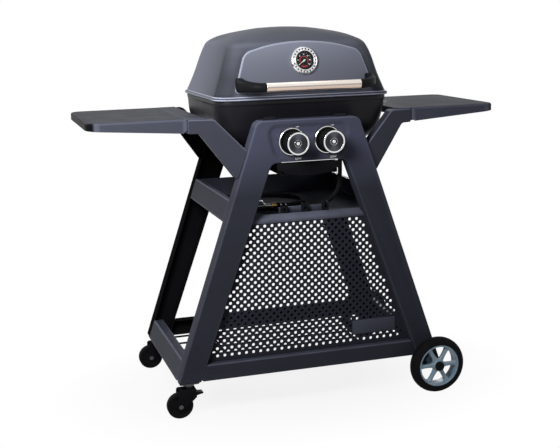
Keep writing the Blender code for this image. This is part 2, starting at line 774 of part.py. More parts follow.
def build_tool_rail():
    """A flat bar with three hooks at the front edge of the mid tray."""
    low = TRAY_FLOOR + SHEET + CLEARANCE
    high = low + TOOL_RAIL_HEIGHT
    back = -RIM + TOOL_HOOK_REACH + TOOL_RAIL_THICK + 2 * SHEET
    front = back - TOOL_RAIL_THICK
    bar = filleted((
        (-TOOL_RAIL_HALF, low, 0), (TOOL_RAIL_HALF, low, 0),
        (TOOL_RAIL_HALF, high, TOOL_RAIL_THICK), (-TOOL_RAIL_HALF, high, TOOL_RAIL_THICK),
    ))
    rail = add_piece("tool_rail", plate([bar], across_y(front), across_y(back)), "graphite sheet")
    tip = front - TOOL_HOOK_REACH
    middle = (low + high) / 2
    hook = [
        Vector((front + TOOL_RAIL_THICK / 2, low + TOOL_RAIL_THICK)), Vector((tip, low + TOOL_RAIL_THICK)),
        Vector((tip, middle)), Vector((tip + TOOL_RAIL_THICK, middle)),
        Vector((tip + TOOL_RAIL_THICK, low + 2 * TOOL_RAIL_THICK)),
        Vector((front + TOOL_RAIL_THICK / 2, low + 2 * TOOL_RAIL_THICK)),
    ]
    hooks = bmesh.new()
    for step in (-1, 0, 1):
        left = step * TOOL_HOOK_SPACING - TOOL_HOOK_WIDTH / 2
        add_plate(hooks, [hook], across_x(left), across_x(left + TOOL_HOOK_WIDTH))
    fuse(rail, hooks)


def perforations(bottom, top):
    """Staggered rows of round holes that stay inside the panel's sloping sides."""
    holes = []
    rows = int((top - bottom - 2 * HOLE_MARGIN) / HOLE_ROW)
    first = (bottom + top - rows * HOLE_ROW) / 2
    for row in range(rows + 1):
        z = first + row * HOLE_ROW
        half = leg_inner(z + HOLE_RADIUS) - HOLE_MARGIN - HOLE_RADIUS
        shift = HOLE_PITCH / 2 if row % 2 else 0.0
        columns = int((half + shift) / HOLE_PITCH)
        for column in range(-columns, columns + 1):
            x = column * HOLE_PITCH + shift
            if abs(x) <= half:
                holes.append(round_outline(x, z, HOLE_RADIUS, HOLE_SIDES, math.pi / HOLE_SIDES))
    return holes


def build_perforated_panel():
    bottom = FRAME_FOOT + CROSS_RAIL_HEIGHT + CLEARANCE
    top = TRAY_FLOOR - CLEARANCE
    low_half = leg_inner(bottom) - CLEARANCE
    top_half = leg_inner(top) - CLEARANCE
    corners = ((-low_half, bottom), (low_half, bottom), (top_half, top), (-top_half, top))
    outline = [Vector(corner) for corner in corners]
    face = FRONT + PERFORATED_SETBACK
    sheet = plate([outline, *perforations(bottom, top)], across_y(face), across_y(face + SHEET))
    add_piece("perforated_panel", sheet, "black sheet")


def build_rack():
    """Wires across the cart, tied by two cross wires, resting on the rail flanges."""
    z = FRAME_FOOT + SHEET + CLEARANCE + RACK_WIRE
    half = leg_outer(z + RACK_WIRE) - 2 * SHEET
    depth = RIM - RACK_MARGIN
    wires = bmesh.new()
    for step in range(RACK_WIRES):
        y = mix(-depth, depth, step / (RACK_WIRES - 1))
        add_turned(wires, ((RACK_WIRE, 0), (RACK_WIRE, 2 * half)), (-half, y, z), (1, 0, 0), 6)
    rack = add_piece("wire_rack", wires, "black sheet")
    ties = bmesh.new()
    length = 2 * (depth + 2 * RACK_WIRE)
    for side in (-1, 1):
        start = (side * RACK_TIE, -depth - 2 * RACK_WIRE, z + RACK_WIRE)
        add_turned(ties, ((RACK_WIRE, 0), (RACK_WIRE, length)), start, (0, 1, 0), 6)
    fuse(rack, ties)


def hub_windows(centre, end):
    """Openings between the spokes of a wheel hub."""
    windows = bmesh.new()
    inner = HUB_BOSS + 0.004
    outer = HUB_RADIUS - HUB_RIM - 0.002
    for spoke in range(SPOKES):
        middle = 2 * math.pi * (spoke + 0.5) / SPOKES
        points = []
        for radius, order in ((inner, 1), (outer, -1)):
            spread = math.pi / SPOKES - math.asin(SPOKE_WIDTH / 2 / radius)
            for step in (-1, 0, 1):
                angle = middle + order * spread * step
                spoke_side = Vector((math.cos(angle), math.sin(angle)))
                points.append(Vector((AXLE_X, WHEEL_RADIUS)) + spoke_side * radius)
        add_plate(windows, [points], across_y(centre - WHEEL_WIDTH), across_y(centre + WHEEL_WIDTH))
    return windows


def build_wheel(word, end):
    """A tyre on a spoked hub with a centre cap, turning on the axle."""
    leg_face = CART_DEPTH / 2
    inside = leg_face + WHEEL_GAP
    outside = inside + WHEEL_WIDTH
    axis = (0, end, 0)
    pivot = (AXLE_X, end * (inside + outside) / 2, WHEEL_RADIUS)
    base = (AXLE_X, 0, WHEEL_RADIUS)
    seat = HUB_RADIUS + CLEARANCE
    crown = (WHEEL_RADIUS - seat) * 0.35
    shoulder = WHEEL_RADIUS - crown
    tyre = (
        (seat, inside), (seat, outside), (shoulder, outside),
        (WHEEL_RADIUS - crown * 0.3, outside - crown * 0.6),
        (WHEEL_RADIUS, outside - crown * 1.6), (WHEEL_RADIUS, inside + crown * 1.6),
        (WHEEL_RADIUS - crown * 0.3, inside + crown * 0.6), (shoulder, inside),
    )
    add_piece(f"tyre_{word}", turned(tyre, base, axis, WHEEL_STEPS, True), "tyre rubber", pivot)
    bore = AXLE_RADIUS + AXLE_PLAY
    rim_in = HUB_RADIUS - HUB_RIM
    web_out = outside - 0.006
    web_in = web_out - HUB_WEB
    boss_in = leg_face + 2 * CLEARANCE
    hub = (
        (bore, boss_in), (bore, outside), (HUB_BOSS, outside), (HUB_BOSS + 0.003, web_out),
        (rim_in, web_out), (rim_in + 0.002, outside - CLEARANCE),
        (HUB_RADIUS, outside - CLEARANCE), (HUB_RADIUS, inside + CLEARANCE),
        (rim_in, inside + CLEARANCE), (rim_in, web_in), (HUB_BOSS, web_in), (HUB_BOSS, boss_in),
    )
    hub = add_piece(f"hub_{word}", turned(hub, base, axis, WHEEL_STEPS, True), "blue grey hub", pivot)
    cut(hub, hub_windows(pivot[1], end))
    start = outside + CLEARANCE
    cap = (
        (0, start), (HUB_BOSS - 0.001, start), (HUB_BOSS - 0.001, start + CAP_HEIGHT * 0.4),
        (HUB_BOSS * 0.7, start + CAP_HEIGHT * 0.85), (0, start + CAP_HEIGHT),
    )
    add_piece(f"hub_cap_{word}", turned(cap, base, axis), "black plastic", pivot)


def build_wheels():
    reach = CART_DEPTH / 2 + WHEEL_GAP + WHEEL_WIDTH
    axle = rod((AXLE_X, -reach, WHEEL_RADIUS), (AXLE_X, reach, WHEEL_RADIUS), AXLE_RADIUS, ROUND_STEPS)
    add_piece("axle", axle, "plain steel")
    build_wheel("front", -1)
    build_wheel("rear", 1)


def fork_outline():
    """Side of a caster fork, from its crown down to the wheel pin."""
    top = FORK_BOTTOM + FORK_CROWN
    eye = CASTER_RADIUS
    wheel_x = CASTER_X - CASTER_TRAIL
    return filleted((
        (CASTER_X - FORK_HALF_LENGTH - CASTER_TRAIL / 2, top, 0.006),
        (wheel_x - FORK_EYE, eye - FORK_EYE, FORK_EYE * 0.95),
        (wheel_x + FORK_EYE, eye - FORK_EYE, FORK_EYE * 0.95),
        (CASTER_X + FORK_HALF_LENGTH, FORK_BOTTOM - BRAKE_PIVOT_DROP - BRAKE_PIN * 2, 0.004),
        (CASTER_X + FORK_HALF_LENGTH, top, 0.004),
    ))


def build_caster(word, end):
    """A swivel caster under a left leg, rolling along X, with a foot brake."""
    y = end * CASTER_Y
    wheel_x = CASTER_X - CASTER_TRAIL
    axis = (0, 1, 0)
    swivel = (CASTER_X, y, FORK_BOTTOM + FORK_CROWN)
    crown_top = FORK_BOTTOM + FORK_CROWN
    plate_low = PLATE_TOP - CASTER_PLATE
    corner = 0.005
    plan = filleted((
        (CASTER_X - CASTER_PLATE_HALF, y - CASTER_PLATE_DEPTH / 2, corner),
        (CASTER_X + CASTER_PLATE_HALF, y - CASTER_PLATE_DEPTH / 2, corner),
        (CASTER_X + CASTER_PLATE_HALF, y + CASTER_PLATE_DEPTH / 2, corner),
        (CASTER_X - CASTER_PLATE_HALF, y + CASTER_PLATE_DEPTH / 2, corner),
    ))
    top_plate = plate([plan], across_z(plate_low), across_z(PLATE_TOP))
    top_plate = add_piece(f"caster_plate_{word}", top_plate, "plain steel")
    race = (crown_top + plate_low) / 2
    race_top = plate_low + CASTER_PLATE / 2
    race_low = (CASTER_X, y, race + CLEARANCE)
    fuse(top_plate, rod(race_low, (CASTER_X, y, race_top), SWIVEL_RADIUS + 0.002, 12))
    outer = FORK_INNER + FORK_CHEEK
    holes = [
        round_outline(wheel_x, CASTER_RADIUS, CASTER_PIN + CLEARANCE, 10),
        round_outline(CASTER_X + BRAKE_PIVOT_X, FORK_BOTTOM - BRAKE_PIVOT_DROP, BRAKE_PIN + CLEARANCE, 10),
    ]
    cheeks = bmesh.new()
    for side in (-1, 1):
        low = y + side * FORK_INNER
        high = y + side * outer
        add_plate(cheeks, [fork_outline(), *holes], across_y(low), across_y(high))
    fork = add_piece(f"caster_fork_{word}", cheeks, "black sheet", swivel)
    crown = bmesh.new()
    crown_half = FORK_INNER + FORK_CHEEK / 2
    crown_low = (CASTER_X - FORK_HALF_LENGTH - CASTER_TRAIL / 4, y - crown_half, FORK_BOTTOM)
    crown_high = (CASTER_X + FORK_HALF_LENGTH - 0.001, y + crown_half, crown_top - 0.001)
    add_block(crown, crown_low, crown_high)
    fuse(fork, crown)
    fuse(fork, rod((CASTER_X, y, FORK_BOTTOM + FORK_CROWN / 2), (CASTER_X, y, race), SWIVEL_RADIUS, 12))
    build_caster_wheel(word, y, wheel_x, axis)
    build_caster_brake(word, y)


def build_caster_wheel(word, y, wheel_x, axis):
    base = (wheel_x, y, CASTER_RADIUS)
    half = CASTER_WIDTH / 2
    bore = CASTER_PIN + AXLE_PLAY
    edge = 0.004
    wheel = (
        (bore, -half), (bore, half), (0.011, half), (0.014, half - 0.003),
        (CASTER_RADIUS - 0.010, half - 0.003),
        (CASTER_RADIUS - edge, half - 0.001), (CASTER_RADIUS, half - edge), (CASTER_RADIUS, edge - half),
        (CASTER_RADIUS - edge, 0.001 - half), (CASTER_RADIUS - 0.010, 0.003 - half), (0.014, 0.003 - half),
        (0.011, -half),
    )
    add_piece(f"caster_wheel_{word}", turned(wheel, base, axis, 16, True), "tyre rubber", base)
    reach = FORK_INNER + FORK_CHEEK + 0.0022
    head = FORK_INNER + FORK_CHEEK + CLEARANCE
    pin = (
        (0, -reach), (CASTER_PIN * 1.6, -reach), (CASTER_PIN * 1.6, -head), (CASTER_PIN, -head),
        (CASTER_PIN, head), (CASTER_PIN * 1.6, head), (CASTER_PIN * 1.6, reach), (0, reach),
    )
    add_piece(f"caster_pin_{word}", turned(pin, base, axis, 10), "plain steel", base)


def build_caster_brake(word, y):
    """A pedal that tips down on its pin, so that the cam below it swings to the tread."""
    x = CASTER_X + BRAKE_PIVOT_X
    z = FORK_BOTTOM - BRAKE_PIVOT_DROP
    lever = filleted((
        (x - 0.004, z + 0.0045, 0.002), (x - 0.0065, z - 0.002, 0), (x - 0.006, z - 0.0092, 0.001),
        (x - 0.002, z - 0.0095, 0.001), (x + 0.004, z - 0.004, 0), (x + BRAKE_REACH, z + 0.001, 0.001),
        (x + BRAKE_REACH, z + 0.001 + BRAKE_THICK, 0.0015), (x + 0.004, z + 0.006, 0),
    ), 2)
    pedal = plate([lever], across_y(y - BRAKE_HALF), across_y(y + BRAKE_HALF))
    pedal = add_piece(f"caster_brake_{word}", pedal, "black plastic", (x, y, z))
    reach = FORK_INNER + FORK_CHEEK
    fuse(pedal, rod((x, y - reach, z), (x, y + reach, z), BRAKE_PIN))


def build_casters():
    build_caster("front", -1)
    build_caster("rear", 1)


def body_loop(bm, half, front, back, radius, z):
    """A rounded rectangle level with the ground, for the firebox and the lid."""
    corners = ((-half, front, radius), (half, front, radius), (half, back, radius), (-half, back, radius))
    return add_loop(bm, filleted(corners, 3), across_z(z))


def firebox_loop(bm, depth, side, end):
    radius = FIREBOX_ROUND - min(side, end) * 0.35
    front = FIREBOX_FRONT + end
    back = FIREBOX_BACK - end
    return body_loop(bm, FIREBOX_HALF - side, front, back, radius, FIREBOX_TOP - depth)


def ear(upper, lower, first_angle, last_angle):
    """A hinge ear in the YZ plane, from two points in a wall out to an eye round the hinge rod."""
    points = [Vector(upper), Vector(lower)]
    for step in range(9):
        angle = mix(first_angle, last_angle, step / 8)
        points.append(Vector((HINGE_Y, HINGE_Z)) + Vector((math.cos(angle), math.sin(angle))) * HINGE_EYE)
    return points


def hinge_ears(outline, start):
    """A pair of ears, with holes for the rod, each as thick as an ear from the start position outward."""
    ears = bmesh.new()
    hole = round_outline(HINGE_Y, HINGE_Z, HINGE_ROD + CLEARANCE, 12)
    for side in (-1, 1):
        add_plate(ears, [outline, hole], across_x(side * start), across_x(side * (start + HINGE_EAR)))
    return ears


def build_firebox():
    bm = bmesh.new()
    outside = [firebox_loop(bm, *section) for section in FIREBOX_OUTSIDE]
    rim = FIREBOX_WALL + 0.001
    ledge_out = 2 * FIREBOX_WALL
    ledge_in = ledge_out + LEDGE_WIDTH
    inside = [
        firebox_loop(bm, 0.0, rim, rim),
        firebox_loop(bm, LEDGE_DROP, ledge_out, ledge_out),
        firebox_loop(bm, LEDGE_DROP + 0.0005, ledge_in, ledge_in),
    ]
    for depth, side, end in FIREBOX_OUTSIDE[3:]:
        lift = FIREBOX_WALL if depth == FIREBOX_OUTSIDE[-1][0] else FIREBOX_WALL / 3
        wall_side = max(side + FIREBOX_WALL, ledge_in + 0.001)
        wall_end = max(end + FIREBOX_WALL, ledge_in + 0.001)
        inside.append(firebox_loop(bm, depth - lift, wall_side, wall_end))
    loft(bm, [*reversed(outside), *inside])
    firebox = add_piece("firebox", bm, "black casting")
    fuse(firebox, mounting_lugs())
    upper = (FIREBOX_BACK - 1.6 * FIREBOX_WALL, LEDGE_Z + 0.002)
    lower = (FIREBOX_BACK - 3.2 * FIREBOX_WALL, LEDGE_Z - HINGE_EYE)
    ear_outline = ear(upper, lower, -math.pi * 0.55, math.pi * 0.95)
    fuse(firebox, hinge_ears(ear_outline, HINGE_X - HINGE_EAR))
    fuse(firebox, tray_runners())
    fuse(firebox, burner_posts())
    drain = bmesh.new()
    bottom = FIREBOX_TOP - FIREBOX_OUTSIDE[-1][0]
    add_block(drain, (-DRAIN_HALF, -DRAIN_HALF, bottom - 0.01), (DRAIN_HALF, DRAIN_HALF, bottom + 0.02))
    cut(firebox, drain)
    for side in (-1, 1):
        start = (side * KNOB_X, FIREBOX_FRONT, KNOB_Z)
        end = (side * KNOB_X, BURNER_FRONT + BURNER_BAR / 3, KNOB_Z)
        cut(firebox, rod(start, end, VENTURI_RADIUS + 2 * CLEARANCE, 20))


def mounting_lugs():
    """Lugs on the firebox that stand on the top edges of the two frames."""
    lugs = bmesh.new()
    low = FRAME_TOP + CLEARANCE
    inset = FIREBOX_OUTSIDE[3][2] + FIREBOX_WALL / 2
    reach = CART_DEPTH / 2 - LUG_SETBACK
    for side in (-1, 1):
        left = side * LUG_X - LUG_HALF
        right = side * LUG_X + LUG_HALF
        add_block(lugs, (left, -reach, low), (right, FIREBOX_FRONT + inset, low + LUG_HEIGHT))
        add_block(lugs, (left, FIREBOX_BACK - inset, low), (right, reach, low + LUG_HEIGHT))
    return lugs


def runner_outline(side):
    """An angle that hangs under the firebox and carries one lip of the grease tray."""
    outer = GREASE_HALF + GREASE_LIP + 2 * SHEET
    foot_top = GREASE_TOP - SHEET - CLEARANCE
    top = FIREBOX_TOP - FIREBOX_OUTSIDE[-1][0] + FIREBOX_WALL / 3
    points = (
        (outer - SHEET, top), (outer - SHEET, foot_top), (outer - RUNNER_FOOT, foot_top),
        (outer - RUNNER_FOOT, foot_top - SHEET), (outer, foot_top - SHEET), (outer, top),
    )
    return [Vector((side * x, z)) for x, z in points]


def tray_runners():
    runners = bmesh.new()
    for side in (-1, 1):
        add_plate(runners, [runner_outline(side)], across_y(RUNNER_FRONT), across_y(RUNNER_BACK))
    return runners


def burner_posts():
    posts = bmesh.new()
    low = FIREBOX_TOP - FIREBOX_OUTSIDE[-1][0] + FIREBOX_WALL / 2
    high = KNOB_Z - BURNER_THICK / 2 - CLEARANCE
    for side in (-1, 1):
        base = (side * (KNOB_X + BURNER_BAR / 4), BURNER_BACK - 2 * BURNER_BAR, low)
        add_turned(posts, ((POST_RADIUS, 0), (POST_RADIUS, high - low)), base, (0, 0, 1), 12)
    return posts


def lid_front(height):
    """Y of the lid's flat front face at a height above the lid's lower edge."""
    return LID_FRONT + LID_LIP / 1.5 + (height - LID_SIDES[0][0]) * LID_FRONT_LEAN


def lid_back(height):
    return LID_BACK + LID_FRONT - lid_front(height)


def lid_sections():
    """Loops of the lid's outside as (height, side inset, front inset, back inset)."""
    sections = [(0.0, 0.0, 0.0, 0.0), (LID_LIP_HEIGHT, 0.0, 0.0, 0.0)]
    for height, side in LID_SIDES:
        front = lid_front(height) - LID_FRONT
        sections.append((height, side, front, front))
    for height, side, end in LID_ROOF:
        sections.append((height, side, end, end))
    return sections


def lid_loop(bm, height, side, front, back, wall):
    radius = max(LID_ROUND - wall - max(height - LID_SIDES[0][0], 0.0) * 0.05, 0.012)
    half = LID_HALF - side - wall
    radius = min(radius, half * 0.8, (LID_BACK - LID_FRONT - front - back) / 2 * 0.8)
    front_y = LID_FRONT + front + wall
    back_y = LID_BACK - back - wall
    return body_loop(bm, half, front_y, back_y, radius, LID_BOTTOM + height)


def build_lid():
    bm = bmesh.new()
    sections = lid_sections()
    outside = [lid_loop(bm, *section, 0.0) for section in sections]
    crown = [bm.verts.new((0, (LID_FRONT + LID_BACK) / 2, LID_BOTTOM + LID_HEIGHT))]
    inside = [lid_loop(bm, 0.0, LID_LIP, LID_LIP, LID_LIP, 0.0)]
    for height, side, front, back in sections[2::2]:
        drop = LID_WALL if height > LID_FACE_TOP else 0.0
        inside.append(lid_loop(bm, height - drop, side, front, back, LID_WALL))
    vault = [bm.verts.new((0, (LID_FRONT + LID_BACK) / 2, LID_BOTTOM + LID_HEIGHT - LID_WALL))]
    loft(bm, [crown, *reversed(outside), *inside, vault])
    lid = add_piece("lid", bm, "gunmetal casting", (0, HINGE_Y, HINGE_Z))
    fuse(lid, lid_shield())
    high = LID_BOTTOM + HINGE_UP + 2.4 * HINGE_EYE
    low = LID_BOTTOM + HINGE_UP + HINGE_EYE / 2
    upper = (lid_back(high - LID_BOTTOM) - LID_WALL / 2, high)
    lower = (lid_back(low - LID_BOTTOM) - LID_WALL / 2, low)
    ear_outline = ear(upper, lower, -math.pi * 0.65, math.pi * 0.55)
    fuse(lid, hinge_ears(ear_outline, HINGE_X + CLEARANCE))


def lid_shield():
    """The raised front of the lid, a plate on the sloping face with an arched top."""
    corners = [(-SHIELD_BOTTOM_HALF, SHIELD_BOTTOM, 0.008), (SHIELD_BOTTOM_HALF, SHIELD_BOTTOM, 0.008)]
    corners += [(SHIELD_TOP_HALF, SHIELD_SHOULDER, SHIELD_ROUND), (0.0, LID_FACE_TOP, 0.9)]
    corners += [(-SHIELD_TOP_HALF, SHIELD_SHOULDER, SHIELD_ROUND)]
    outline = filleted(corners, 3)
    edge = offset_inward(outline, SHIELD_RAISE)
    bm = bmesh.new()
    loops = []
    for points, raise_by in ((outline, -LID_WALL / 2), (outline, SHIELD_RAISE / 3), (edge, SHIELD_RAISE)):
        loops.append(add_loop(bm, points, lambda p: (p.x, lid_front(p.y) - raise_by, LID_BOTTOM + p.y)))
    loft(bm, loops)
    return bm


def shield_face(height):
    return lid_front(height) - SHIELD_RAISE


def build_hinge_rod():
    half = HINGE_X + HINGE_EAR + 2 * HINGE_ROD
    pivot = (0, HINGE_Y, HINGE_Z)
    hinge = rod((-half, HINGE_Y, HINGE_Z), (half, HINGE_Y, HINGE_Z), HINGE_ROD)
    add_piece("hinge_rod", hinge, "plain steel", pivot)


def build_handle():
    """A stainless tube between two black horns that rise from the lid's front."""
    y = shield_face(HANDLE_UP) - HANDLE_OUT
    z = LID_BOTTOM + HANDLE_UP
    pivot = (0, HINGE_Y, HINGE_Z)
    tube = rod((-HANDLE_HALF, y, z), (HANDLE_HALF, y, z), HANDLE_RADIUS, ROUND_STEPS)
    add_piece("handle_tube", tube, "stainless tube", pivot)
    for side, word in ((-1, "left"), (1, "right")):
        add_piece(f"handle_bracket_{word}", handle_horn(side, y, z), "black plastic", pivot)


def handle_horn(side, y, z):
    """A horn that sweeps from the tube's end round to a tall root on the lid."""
    bm = bmesh.new()
    loops = []
    start_x = HANDLE_HALF + CLEARANCE
    sweep_x = HANDLE_ROOT_X - start_x
    steps = 5
    for step in range(steps + 1):
        angle = math.pi / 2 * step / steps
        share = math.sin(angle / 2) ** 2 * 2
        half_width = mix(HANDLE_RADIUS, HANDLE_ROOT_HALF_WIDTH, share)
        half_height = mix(HANDLE_RADIUS, HANDLE_ROOT_HALF_HEIGHT, share)
        lift = (HANDLE_ROOT_HALF_HEIGHT - HANDLE_RADIUS) * 0.5 * share
        centre_x = start_x + sweep_x * math.sin(angle)
        centre_y = y + HANDLE_OUT * (1 - math.cos(angle))
        loop = []
        for point in round_outline(0, 0, 1.0, 12):
            offset = point.x * half_width
            height = point.y * half_height + lift
            place_x = centre_x + offset * math.sin(angle)
            place_y = centre_y - offset * math.cos(angle)
            if step == steps:
                place_y = shield_face(z + height - LID_BOTTOM) - CLEARANCE
            loop.append(bm.verts.new((side * place_x, place_y, z + height)))
        loops.append(loop)
    loft(bm, loops)
    return bm


def dial_point(out):
    """A point on the thermometer's axis, this far out of the lid's front."""
    normal = Vector((0, -math.cos(DIAL_TILT), math.sin(DIAL_TILT)))
    base = Vector((0, shield_face(DIAL_UP), LID_BOTTOM + DIAL_UP))
    return base + normal * out, normal


def build_thermometer():
    base, normal = dial_point(CLEARANCE)
    lid_pivot = (0, HINGE_Y, HINGE_Z)
    seat = DIAL_RADIUS + CLEARANCE
    glass_base = BEZEL_HEIGHT - GLASS_THICK - 0.0015
    bezel = (
        (seat, 0), (BEZEL_RADIUS, 0), (BEZEL_RADIUS, BEZEL_HEIGHT * 0.45),
        (BEZEL_RADIUS - 0.003, BEZEL_HEIGHT * 0.8),
        (BEZEL_RADIUS - 0.007, BEZEL_HEIGHT), (seat + 0.001, BEZEL_HEIGHT), (seat, BEZEL_HEIGHT - 0.001),
    )
    add_piece("thermometer_bezel", turned(bezel, base, normal, 24, True), "bright chrome", lid_pivot)
    dial = ((0, 0), (DIAL_RADIUS, 0), (DIAL_RADIUS, DIAL_THICK), (0, DIAL_THICK))
    add_piece("thermometer_dial", turned(dial, base, normal, 24), "dial face", lid_pivot)
    glass_top = glass_base + GLASS_THICK
    glass = ((0, glass_base), (DIAL_RADIUS, glass_base), (DIAL_RADIUS, glass_top), (0, glass_top))
    add_piece("thermometer_glass", turned(glass, base, normal, 24), "clear glass", lid_pivot)
    build_needle(base + normal * (DIAL_THICK + CLEARANCE), normal)


def build_needle(seat, normal):
    """A tapered pointer and its hub, turning just above the dial and resting at the cold end."""
    turn = normal.to_track_quat("Z", "Y") @ Quaternion((0, 0, 1), NEEDLE_REST)
    tail = -NEEDLE_LENGTH * 0.25
    outline = [
        Vector((-2 * NEEDLE_HALF, tail)), Vector((2 * NEEDLE_HALF, tail)), Vector((NEEDLE_HALF, 0)),
        Vector((NEEDLE_HALF / 3, NEEDLE_LENGTH)), Vector((-NEEDLE_HALF / 3, NEEDLE_LENGTH)),
        Vector((-NEEDLE_HALF, 0)),
    ]
    low = lambda p: seat + turn @ Vector((p.x, p.y, 2 * CLEARANCE))
    high = lambda p: seat + turn @ Vector((p.x, p.y, 2 * CLEARANCE + NEEDLE_THICK))
    needle = add_piece("thermometer_needle", plate([outline], low, high), "needle white", tuple(seat))
    hub = ((0, 0), (2.2 * NEEDLE_HALF, 0), (2.2 * NEEDLE_HALF, 2 * NEEDLE_THICK), (0, 2.4 * NEEDLE_THICK))
    fuse(needle, turned(hub, seat, normal, 16))


def build_knob(word, side):
    """A control knob that turns with its stem and pushes in along it, over a fixed bezel."""
    x = side * KNOB_X
    out = (0, -1, 0)
    pivot = (x, KNOB_BACK, KNOB_Z)
    radius = KNOB_BEZEL_RADIUS
    height = KNOB_BEZEL_HEIGHT
    bezel = (
        (PANEL_HOLE, 0), (radius, 0), (radius - 0.001, height * 0.7), (radius - 0.004, height),
        (radius - 0.008, height), (PANEL_HOLE, height * 0.6),
    )
    base = (x, RECESS_FLOOR - CLEARANCE, KNOB_Z)
    add_piece(f"knob_bezel_{word}", turned(bezel, base, out, 20, True), "bright chrome")
    bore = STEM_RADIUS + STEM_PLAY
    deep = STEM_IN_KNOB + KNOB_PUSH + 0.002
    length = KNOB_LENGTH
    rim = KNOB_RADIUS
    knob = (
        (0, deep), (bore, deep), (bore, 0), (rim - 0.002, 0),
        (rim - 0.001, length * 0.2), (rim - 0.003, length * 0.28),
        (rim - 0.003, length * 0.82), (rim, length * 0.88), (rim - 0.002, length), (rim - 0.004, length),
        (rim - 0.005, length - 0.002), (0, length - 0.002),
    )
    add_piece(f"knob_{word}", turned(knob, pivot, out, 20), "black plastic", pivot)
    tip = KNOB_BACK - STEM_IN_KNOB
    tail = VALVE_FRONT + STEM_IN_VALVE - 0.002
    stem = rod((x, tail, KNOB_Z), (x, tip, KNOB_Z), STEM_RADIUS, 16)
    add_piece(f"valve_stem_{word}", stem, "brass", pivot)
    build_valve(word, x, bore)


def build_valve(word, x, bore):
    """A brass gas valve behind the panel, standing on the manifold."""
    length = VALVE_LENGTH
    radius = VALVE_RADIUS
    profile = (
        (0, STEM_IN_VALVE), (bore, STEM_IN_VALVE), (bore, 0), (radius * 1.3, 0),
        (radius * 1.3, 0.004), (radius, 0.006),
        (radius, length * 0.9), (radius * 0.45, length * 0.92), (radius * 0.4, length), (0, length),
    )
    valve = turned(profile, (x, VALVE_FRONT, KNOB_Z), (0, 1, 0), 12)
    valve = add_piece(f"valve_{word}", valve, "brass")
    low = MANIFOLD_Z + MANIFOLD_RADIUS + CLEARANCE
    top = KNOB_Z - radius / 2
    fuse(valve, rod((x, MANIFOLD_Y, low), (x, MANIFOLD_Y, top), radius * 0.45, 10))


def build_gas():
    build_knob("left", -1)
    build_knob("right", 1)
    start = (MANIFOLD_LEFT, MANIFOLD_Y, MANIFOLD_Z)
    end = (MANIFOLD_RIGHT + HOSE_FITTING / 2, MANIFOLD_Y, MANIFOLD_Z)
    manifold = add_piece("manifold", rod(start, end, MANIFOLD_RADIUS, 16), "plain steel")
    top = (MANIFOLD_RIGHT, MANIFOLD_Y, MANIFOLD_Z + HOSE_FITTING / 4)
    foot = (MANIFOLD_RIGHT, MANIFOLD_Y, MANIFOLD_Z - HOSE_FITTING_LENGTH)
    fuse(manifold, rod(top, foot, HOSE_FITTING))


def build_burner(word, side):
    """A cast loop burner with a venturi tube that reaches out through the firebox front."""
    low = KNOB_Z - BURNER_THICK / 2
    high = KNOB_Z + BURNER_THICK / 2
    left = BURNER_X - BURNER_HALF_WIDTH
    right = BURNER_X + BURNER_HALF_WIDTH
    corners = (
        (side * left, BURNER_FRONT, BURNER_BAR), (side * right, BURNER_FRONT, BURNER_BAR),
        (side * right, BURNER_BACK, BURNER_BAR), (side * left, BURNER_BACK, BURNER_BAR),
    )
    outline = filleted(corners)
    burner = plate([outline, offset_inward(outline, BURNER_BAR)], across_z(low), across_z(high))
    burner = add_piece(f"burner_{word}", burner, "cast iron")
    start = (side * KNOB_X, BURNER_FRONT - VENTURI_MOUTH, KNOB_Z)
    end = (side * KNOB_X, BURNER_FRONT + BURNER_BAR / 2, KNOB_Z)
    fuse(burner, rod(start, end, VENTURI_RADIUS, 20))


def build_grate(word, side):
    """One half of the cooking grate: bars along Y inside a border."""
    play = GRATE_PLAY
    near = play
    far = FIREBOX_HALF - 2 * FIREBOX_WALL - play
    front = FIREBOX_FRONT + 2 * FIREBOX_WALL + play
    back = FIREBOX_BACK - 2 * FIREBOX_WALL - play
    corners = (
        (side * near, front, 0.002), (side * far, front, FIREBOX_ROUND),
        (side * far, back, FIREBOX_ROUND), (side * near, back, 0.002),
    )
    outlines = [filleted(corners, 3)]
    pitch = GRATE_SLOT + GRATE_BAR
    slots = int((far - near - 2 * GRATE_BORDER + GRATE_BAR) / pitch)
    first = (near + far - slots * pitch + GRATE_BAR) / 2
    for slot in range(slots):
        left = first + slot * pitch
        right = left + GRATE_SLOT
        outlines.append(box_outline(side * left, front + GRATE_END, side * right, back - GRATE_END))
    base = LEDGE_Z + CLEARANCE
    grate = plate(outlines, across_z(base), across_z(base + GRATE_THICK))
    add_piece(f"grate_{word}", grate, "cast iron")


